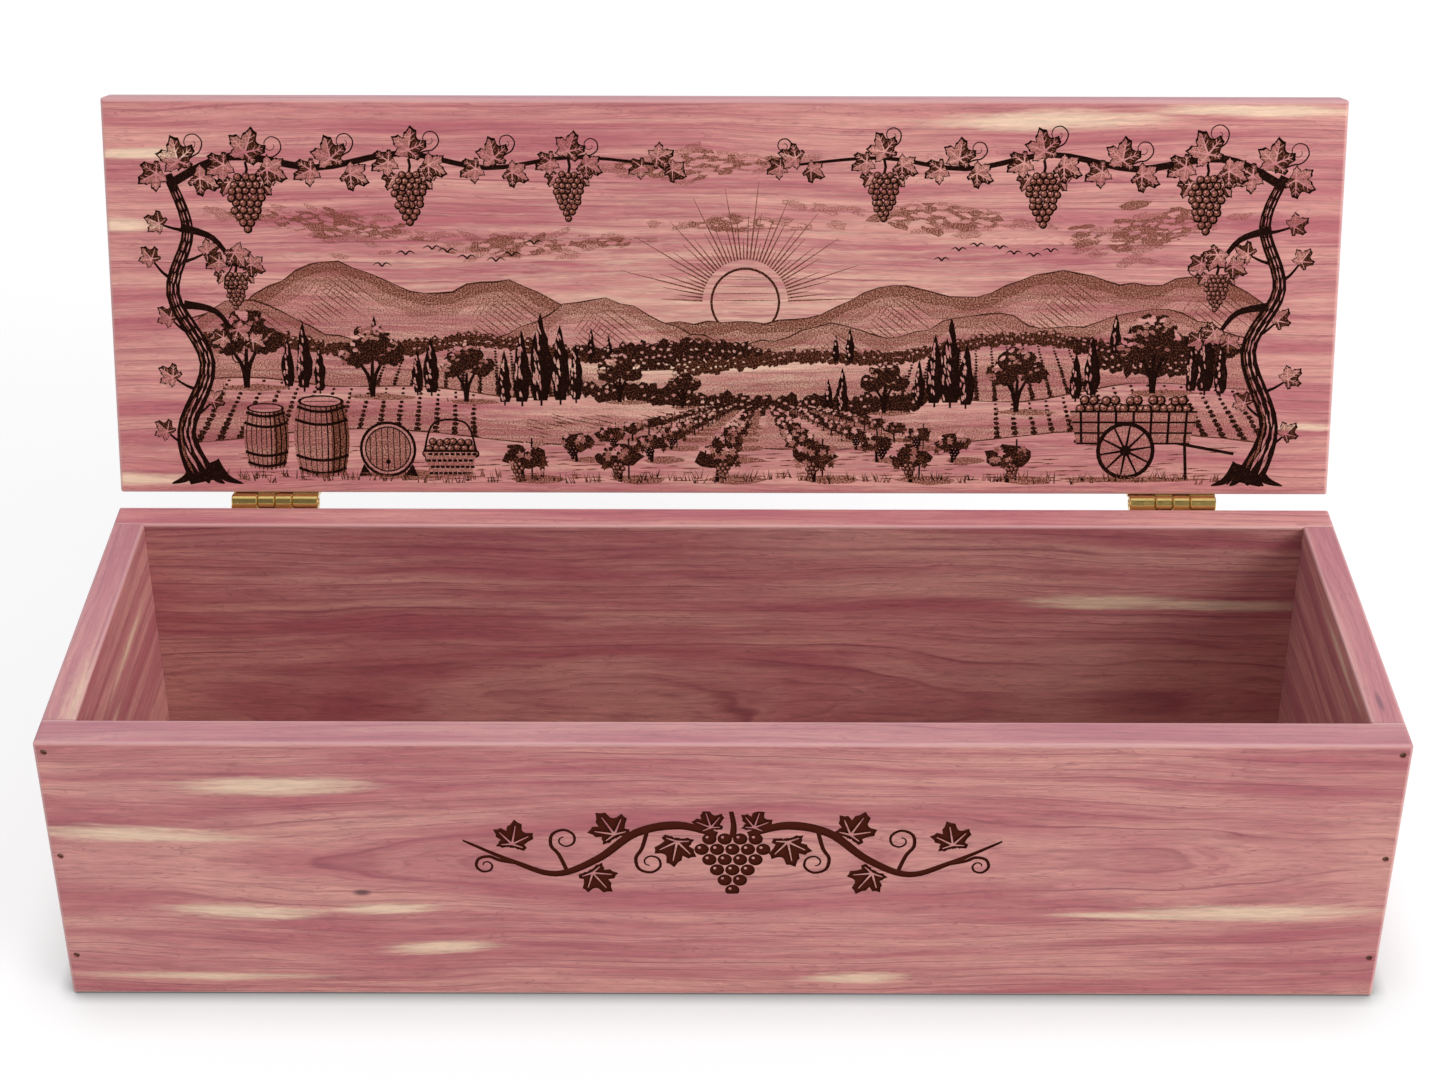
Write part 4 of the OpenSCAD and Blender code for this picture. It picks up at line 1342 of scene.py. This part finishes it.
def engrave(mesh, rims, art, deepest):
    """Fills the opening, whose outer rim comes first, with a face that the drawing is sunk into."""
    points, edges = [], []
    for outline in rims + [shape for shape, _ in art.shapes]:
        ring = range(len(points), len(points) + len(outline))
        edges += zip(ring, (*ring[1:], ring[0]))
        points += outline
    found, triangles, heats = split_plane(points, edges, rims, art.shapes)
    # Lines that later shapes hide are dropped, and the plane is split again without them.
    shown = edges_between(triangles, heats)
    kept = {corner: i for i, corner in enumerate(sorted({corner for edge in shown for corner in edge}))}
    found, triangles, heats = split_plane(
        [found[corner] for corner in kept], [(kept[a], kept[b]) for a, b in shown], rims, art.shapes)
    cells = [cell for cell in zip(triangles, heats) if cell[1] >= 0]

    # Each corner gets one vertex for every level that meets there.
    heat_layer = mesh.faces.layers.float.new("burn")
    levels = {}
    sides = {}
    for triangle, heat in cells:
        depth = depth_at(heat, deepest)
        for a, b in zip(triangle, (*triangle[1:], triangle[0])):
            levels.setdefault(a, {}).setdefault(depth, None)
            sides.setdefault((min(a, b), max(a, b)), []).append((depth, heat))
    for corner, stack in levels.items():
        for depth in stack:
            stack[depth] = mesh.verts.new((found[corner].x, depth, found[corner].y))
    for triangle, heat in cells:
        depth = depth_at(heat, deepest)
        face = mesh.faces.new([levels[corner][depth] for corner in triangle])
        face[heat_layer] = heat
    for (a, b), beside in sides.items():
        if len(beside) != 2 or beside[0][0] == beside[1][0]:
            continue
        (top, _), (low, heat) = sorted(beside)
        down = [levels[a][d] for d in sorted(levels[a]) if top <= d <= low]
        back = [levels[b][d] for d in sorted(levels[b], reverse=True) if top <= d <= low]
        wall = mesh.faces.new(down + back)
        wall[heat_layer] = heat


# ---------------------------------------------------------------- metals


LATHE_DEPTH = 0.01      # mm
TURNED_ROUGHER = 0.08   # the screws' roughness above the polished leaves'


def brass(name, roughness):
    """Yellow brass, turned and polished: bright, warm reflections with hair-fine lathe marks."""
    metal = bpy.context.scene.hinge_brass
    material, put = new_material(name)
    at = put("TexCoord", out="Object")
    mm = put("VectorMath", [at, (1 / MM, 1 / MM, 1 / MM)], operation="MULTIPLY")
    cloudy = put("TexNoise", {"Vector": mm, "Scale": 0.5, "Detail": 3.0})
    drawn_out = put("VectorMath", [mm, (6.0, 0.6, 0.6)], operation="MULTIPLY")
    lathe_mark = put("TexNoise", {"Vector": drawn_out, "Scale": 1.0, "Detail": 1.0})
    tarnish = put("MapRange", [cloudy, 0.35, 0.75, 0.0, 0.35])
    warm = put("Mix", {0: tarnish, 6: opaque(metal.brass), 7: opaque(srgb("B8924E"))}, **COLOURS)
    rough = put("MapRange", [cloudy, 0.3, 0.7, roughness, roughness + 0.12])
    bump = put("Bump", {"Height": lathe_mark, "Distance": LATHE_DEPTH * MM, "Strength": 0.25}, out="Normal")
    skin = put("BsdfPrincipled", {"Base Color": warm, "Metallic": 1.0, "Roughness": rough, "Normal": bump},
               out="BSDF")
    put("OutputMaterial", {"Surface": skin})
    return material


def painted_shade_steel(name):
    """Drawn steel wire of the brads, dulled, and brown with a painted shade for the hole each head sits in.
    """
    material, put = new_material(name)
    at = put("TexCoord", out="Object")
    spots = put("TexNoise", {"Vector": at, "Scale": 2400.0, "Detail": 2.0})
    # Painted shade: the brown tones darken the heads for the hole they are sunk in.
    tone = put("Mix", {0: spots, 6: opaque(srgb("9A7A68")), 7: opaque(srgb("5A4036"))}, **COLOURS)
    rough = put("MapRange", [spots, 0.3, 0.7, 0.35, 0.6])
    skin = put("BsdfPrincipled", {"Base Color": tone, "Metallic": 1.0, "Roughness": rough}, out="BSDF")
    put("OutputMaterial", {"Surface": skin})
    return material


def dress(node, material):
    """Puts one material on a CAD node."""
    slots = frame["nodes"][node].data.materials
    slots.clear()
    slots.append(material)


# ---------------------------------------------------------------- operators


class BoxOperator:
    """What every operator here shares."""

    bl_options = {"REGISTER", "UNDO"}


class WINEBOX_OT_boards(BoxOperator, bpy.types.Operator):
    """Dresses the plain walls and the bottom in cedar"""

    bl_idname = "winebox.boards"
    bl_label = "Walls and bottom"

    def execute(self, context):
        grain = boards()
        for node in ("back_board", "left_end_board", "right_end_board", "bottom_board"):
            dress(node, cedar("cedar_" + node, grain[node]))
        return {"FINISHED"}


class WINEBOX_OT_front(BoxOperator, bpy.types.Operator):
    """Builds the front with its ornament"""

    bl_idname = "winebox.front"
    bl_label = "Front"

    def execute(self, context):
        char = context.scene.burnt_art.floor
        front = carved("front_board", boards()["front_board"], front_ornament(), ORNAMENT_DEPTH, char)
        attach(front, "box")
        return {"FINISHED"}


class WINEBOX_OT_lid(BoxOperator, bpy.types.Operator):
    """Builds the lid with the picture inside it"""

    bl_idname = "winebox.lid"
    bl_label = "Lid"

    def execute(self, context):
        char = context.scene.burnt_art.char
        lid = carved("lid_board", boards()["lid_board"], lid_picture(), PICTURE_DEPTH, char)
        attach(lid, "lid")
        return {"FINISHED"}


class WINEBOX_OT_hinges(BoxOperator, bpy.types.Operator):
    """Dresses the hinges, their pins and screws in brass, and the brads in steel"""

    bl_idname = "winebox.hinges"
    bl_label = "Hinges, screws and brads"

    def execute(self, context):
        polished = brass("polished_brass", context.scene.hinge_brass.roughness)
        lathed = brass("turned_brass", context.scene.hinge_brass.roughness + TURNED_ROUGHER)
        steel = painted_shade_steel("brad_wire_painted_shade")
        for node in frame["nodes"]:
            if node.endswith("brads"):
                dress(node, steel)
            elif node.endswith("screws"):
                dress(node, lathed)
            elif node.endswith(("leaf", "pin")):
                dress(node, polished)
        return {"FINISHED"}


FLOOR_SIDE = 6.0          # m
SHADOW_DEPTH = 0.40       # the part of the floor's brightness that a shadow can take
FLOOR_GLOW = 1.14
CREVICE = 5.0             # mm from the box within which the floor's painted shade is darkest
LOW_SKY = 0.42            # the horizon's part of the overhead brightness
KEY_PLACE = (2045, -1641, 1548)          # mm
KEY_AIM = (0, 20, 60)                    # mm
KEY_SIZE = (1900, 1300)                  # mm
CARD_PLACE = (0, -1200, 1070)            # mm
CARD_SIZE = (1700, 2200)                 # mm
FRAME_WIDTH = 36.0                       # mm of film
CAMERA_PLACE = (0.35, -607.23, 486.58)   # mm
CAMERA_PITCH = 31.975     # degrees below level
CAMERA_YAW = -0.022       # degrees to the right of straight ahead
CAMERA_ROLL = 0.118       # degrees


def seen_ray(put):
    """1 for a ray from the camera or off a shiny or clear surface, 0 for one that lights something."""
    rays = put("LightPath").node.outputs
    shiny = put("Math", [rays["Is Camera Ray"], rays["Is Glossy Ray"]], operation="MAXIMUM")
    return put("Math", [shiny, rays["Is Transmission Ray"]], operation="MAXIMUM")


def level_sheet(name, wide, tall, material):
    """A flat sheet that reaches so many metres each way from the origin, along x and along y."""
    mesh = bpy.data.meshes.new(name)
    outline = ((-wide, -tall, 0), (wide, -tall, 0), (wide, tall, 0), (-wide, tall, 0))
    mesh.from_pydata(outline, [], [(0, 1, 2, 3)])
    mesh.materials.append(material)
    sheet = bpy.data.objects.new(name, mesh)
    bpy.context.scene.collection.objects.link(sheet)
    return sheet


def studio_floor():
    """Pale seamless paper: matt white that keeps the soft shadow under the box, darkened close round the box
    by a painted shade from ambient occlusion.
    """
    material, put = new_material("white_paper")
    paper = put("BsdfDiffuse", {"Color": opaque(srgb("F3F2F2"))})
    # Painted shade: ambient occlusion darkens the floor's colour and its glow close round the box.
    crevice = put("AmbientOcclusion", {"Distance": CREVICE * MM}, out="AO")
    under = put("AmbientOcclusion", {"Distance": 4 * CREVICE * MM}, out="AO")
    wide_painted_shade = put("MapRange", {"Value": under, "To Min": 0.5, "To Max": 1.0})
    shade = put("Math", [crevice, wide_painted_shade], operation="MULTIPLY")
    shaded = put("BsdfDiffuse", {"Color": shade})
    glow = put("Emission", {"Color": shade, "Strength": FLOOR_GLOW})
    bright = put("MixShader", {0: SHADOW_DEPTH, 1: glow, 2: shaded})
    put("OutputMaterial", {"Surface": put("MixShader", {0: seen_ray(put), 1: paper, 2: bright})})
    floor = level_sheet("studio_floor", FLOOR_SIDE / 2, FLOOR_SIDE / 2, material)


def studio_sky(strength):
    """White surroundings, brighter overhead than low down, where the studio is dim."""
    world = bpy.data.worlds.new("studio_sky")
    world.use_nodes = True
    world.node_tree.nodes.clear()
    put = functools.partial(add_node, world.node_tree)
    up = put("SeparateXYZ", {"Vector": put("TexCoord", out="Generated")}).node.outputs["Z"]
    light = put("MapRange", [up, 0.0, 1.0, strength * LOW_SKY, strength])
    soft = put("Background", {"Color": opaque(srgb("FAFBFF")), "Strength": light})
    white = put("Background", {"Color": opaque((1, 1, 1)), "Strength": 1.0})
    put("OutputWorld", {"Surface": put("MixShader", {0: seen_ray(put), 1: soft, 2: white})})
    bpy.context.scene.world = world


def dark_card():
    """A grey card behind the camera that gives the polished barrels their dark core. It takes no light."""
    material, put = new_material("grey_card")
    put("OutputMaterial", {"Surface": put("BsdfDiffuse", {"Color": opaque(srgb("8C8E84"))})})
    card = level_sheet("dark_card", *(side * MM / 2 for side in CARD_SIZE), material)
    card.location = Vector(CARD_PLACE) * MM
    card.rotation_euler = (-Vector(CARD_PLACE)).to_track_quat("Z", "Y").to_euler()
    card.visible_camera = False
    card.visible_diffuse = False
    card.visible_shadow = False
    card.visible_transmission = False


def area_lamp(name, place, aim, size, power, tint):
    """A square soft lamp at place, in mm, that faces aim."""
    data = bpy.data.lights.new(name, "AREA")
    data.shape = "RECTANGLE"
    data.size, data.size_y = (s * MM for s in size)
    data.energy = power
    data.color = srgb(tint)
    lamp = bpy.data.objects.new(name, data)
    lamp.location = Vector(place) * MM
    lamp.rotation_euler = (Vector(aim) - Vector(place)).to_track_quat("-Z", "Y").to_euler()
    bpy.context.scene.collection.objects.link(lamp)


def studio_camera(lens):
    """The camera at the photograph's view."""
    pitch, yaw, roll = (math.radians(a) for a in (CAMERA_PITCH, CAMERA_YAW, CAMERA_ROLL))
    ahead = Vector((math.sin(yaw) * math.cos(pitch), math.cos(yaw) * math.cos(pitch), -math.sin(pitch)))
    level = Vector((math.cos(yaw), -math.sin(yaw), 0))
    up = level.cross(ahead)
    right = level * math.cos(roll) + up * math.sin(roll)
    above = up * math.cos(roll) - level * math.sin(roll)
    data = bpy.data.cameras.new("camera")
    data.sensor_fit = "HORIZONTAL"
    data.sensor_width = FRAME_WIDTH
    data.lens = lens
    camera = bpy.data.objects.new("camera", data)
    turn = Matrix((right, above, -ahead)).transposed().to_4x4()
    camera.matrix_world = Matrix.Translation(Vector(CAMERA_PLACE) * MM) @ turn
    bpy.context.scene.collection.objects.link(camera)
    bpy.context.scene.camera = camera


class WINEBOX_OT_stage(BoxOperator, bpy.types.Operator):
    """Sets up the camera, the floor, the surroundings and the lamps"""

    bl_idname = "winebox.stage"
    bl_label = "Studio"

    def execute(self, context):
        studio = context.scene.wine_studio
        context.scene.view_settings.view_transform = "Standard"
        studio_camera(studio.lens)
        studio_floor()
        studio_sky(studio.sky)
        area_lamp("key", KEY_PLACE, KEY_AIM, KEY_SIZE, studio.key_power, "FFFCF8")
        dark_card()
        return {"FINISHED"}


class WINEBOX_PT_panel(bpy.types.Panel):
    """Lists the steps that build the box"""

    bl_label = "Wine Box"
    bl_idname = "WINEBOX_PT_panel"
    bl_space_type = "VIEW_3D"
    bl_region_type = "UI"
    bl_category = "Wine Box"

    def draw(self, context):
        for step in STEPS:
            self.layout.operator(step.bl_idname)


STEPS = (WINEBOX_OT_stage, WINEBOX_OT_boards, WINEBOX_OT_front, WINEBOX_OT_lid, WINEBOX_OT_hinges)
SETTINGS = {
    "cedar_box": CedarSettings, "burnt_art": BurnSettings,
    "hinge_brass": BrassSettings, "wine_studio": StudioSettings,
}


def register():
    """Registers the settings, the steps and the panel."""
    for group in (*SETTINGS.values(), *STEPS, WINEBOX_PT_panel):
        bpy.utils.register_class(group)
    for name, group in SETTINGS.items():
        setattr(bpy.types.Scene, name, PointerProperty(type=group))


def unregister():
    """Takes the settings, the steps and the panel out again."""
    for name in SETTINGS:
        delattr(bpy.types.Scene, name)
    for group in (WINEBOX_PT_panel, *reversed(STEPS), *SETTINGS.values()):
        bpy.utils.unregister_class(group)


def main():
    """Builds the whole scene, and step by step."""
    register()
    for step in STEPS:
        area, name = step.bl_idname.split(".")
        getattr(getattr(bpy.ops, area), name)()


if __name__ == "__main__":
    main()
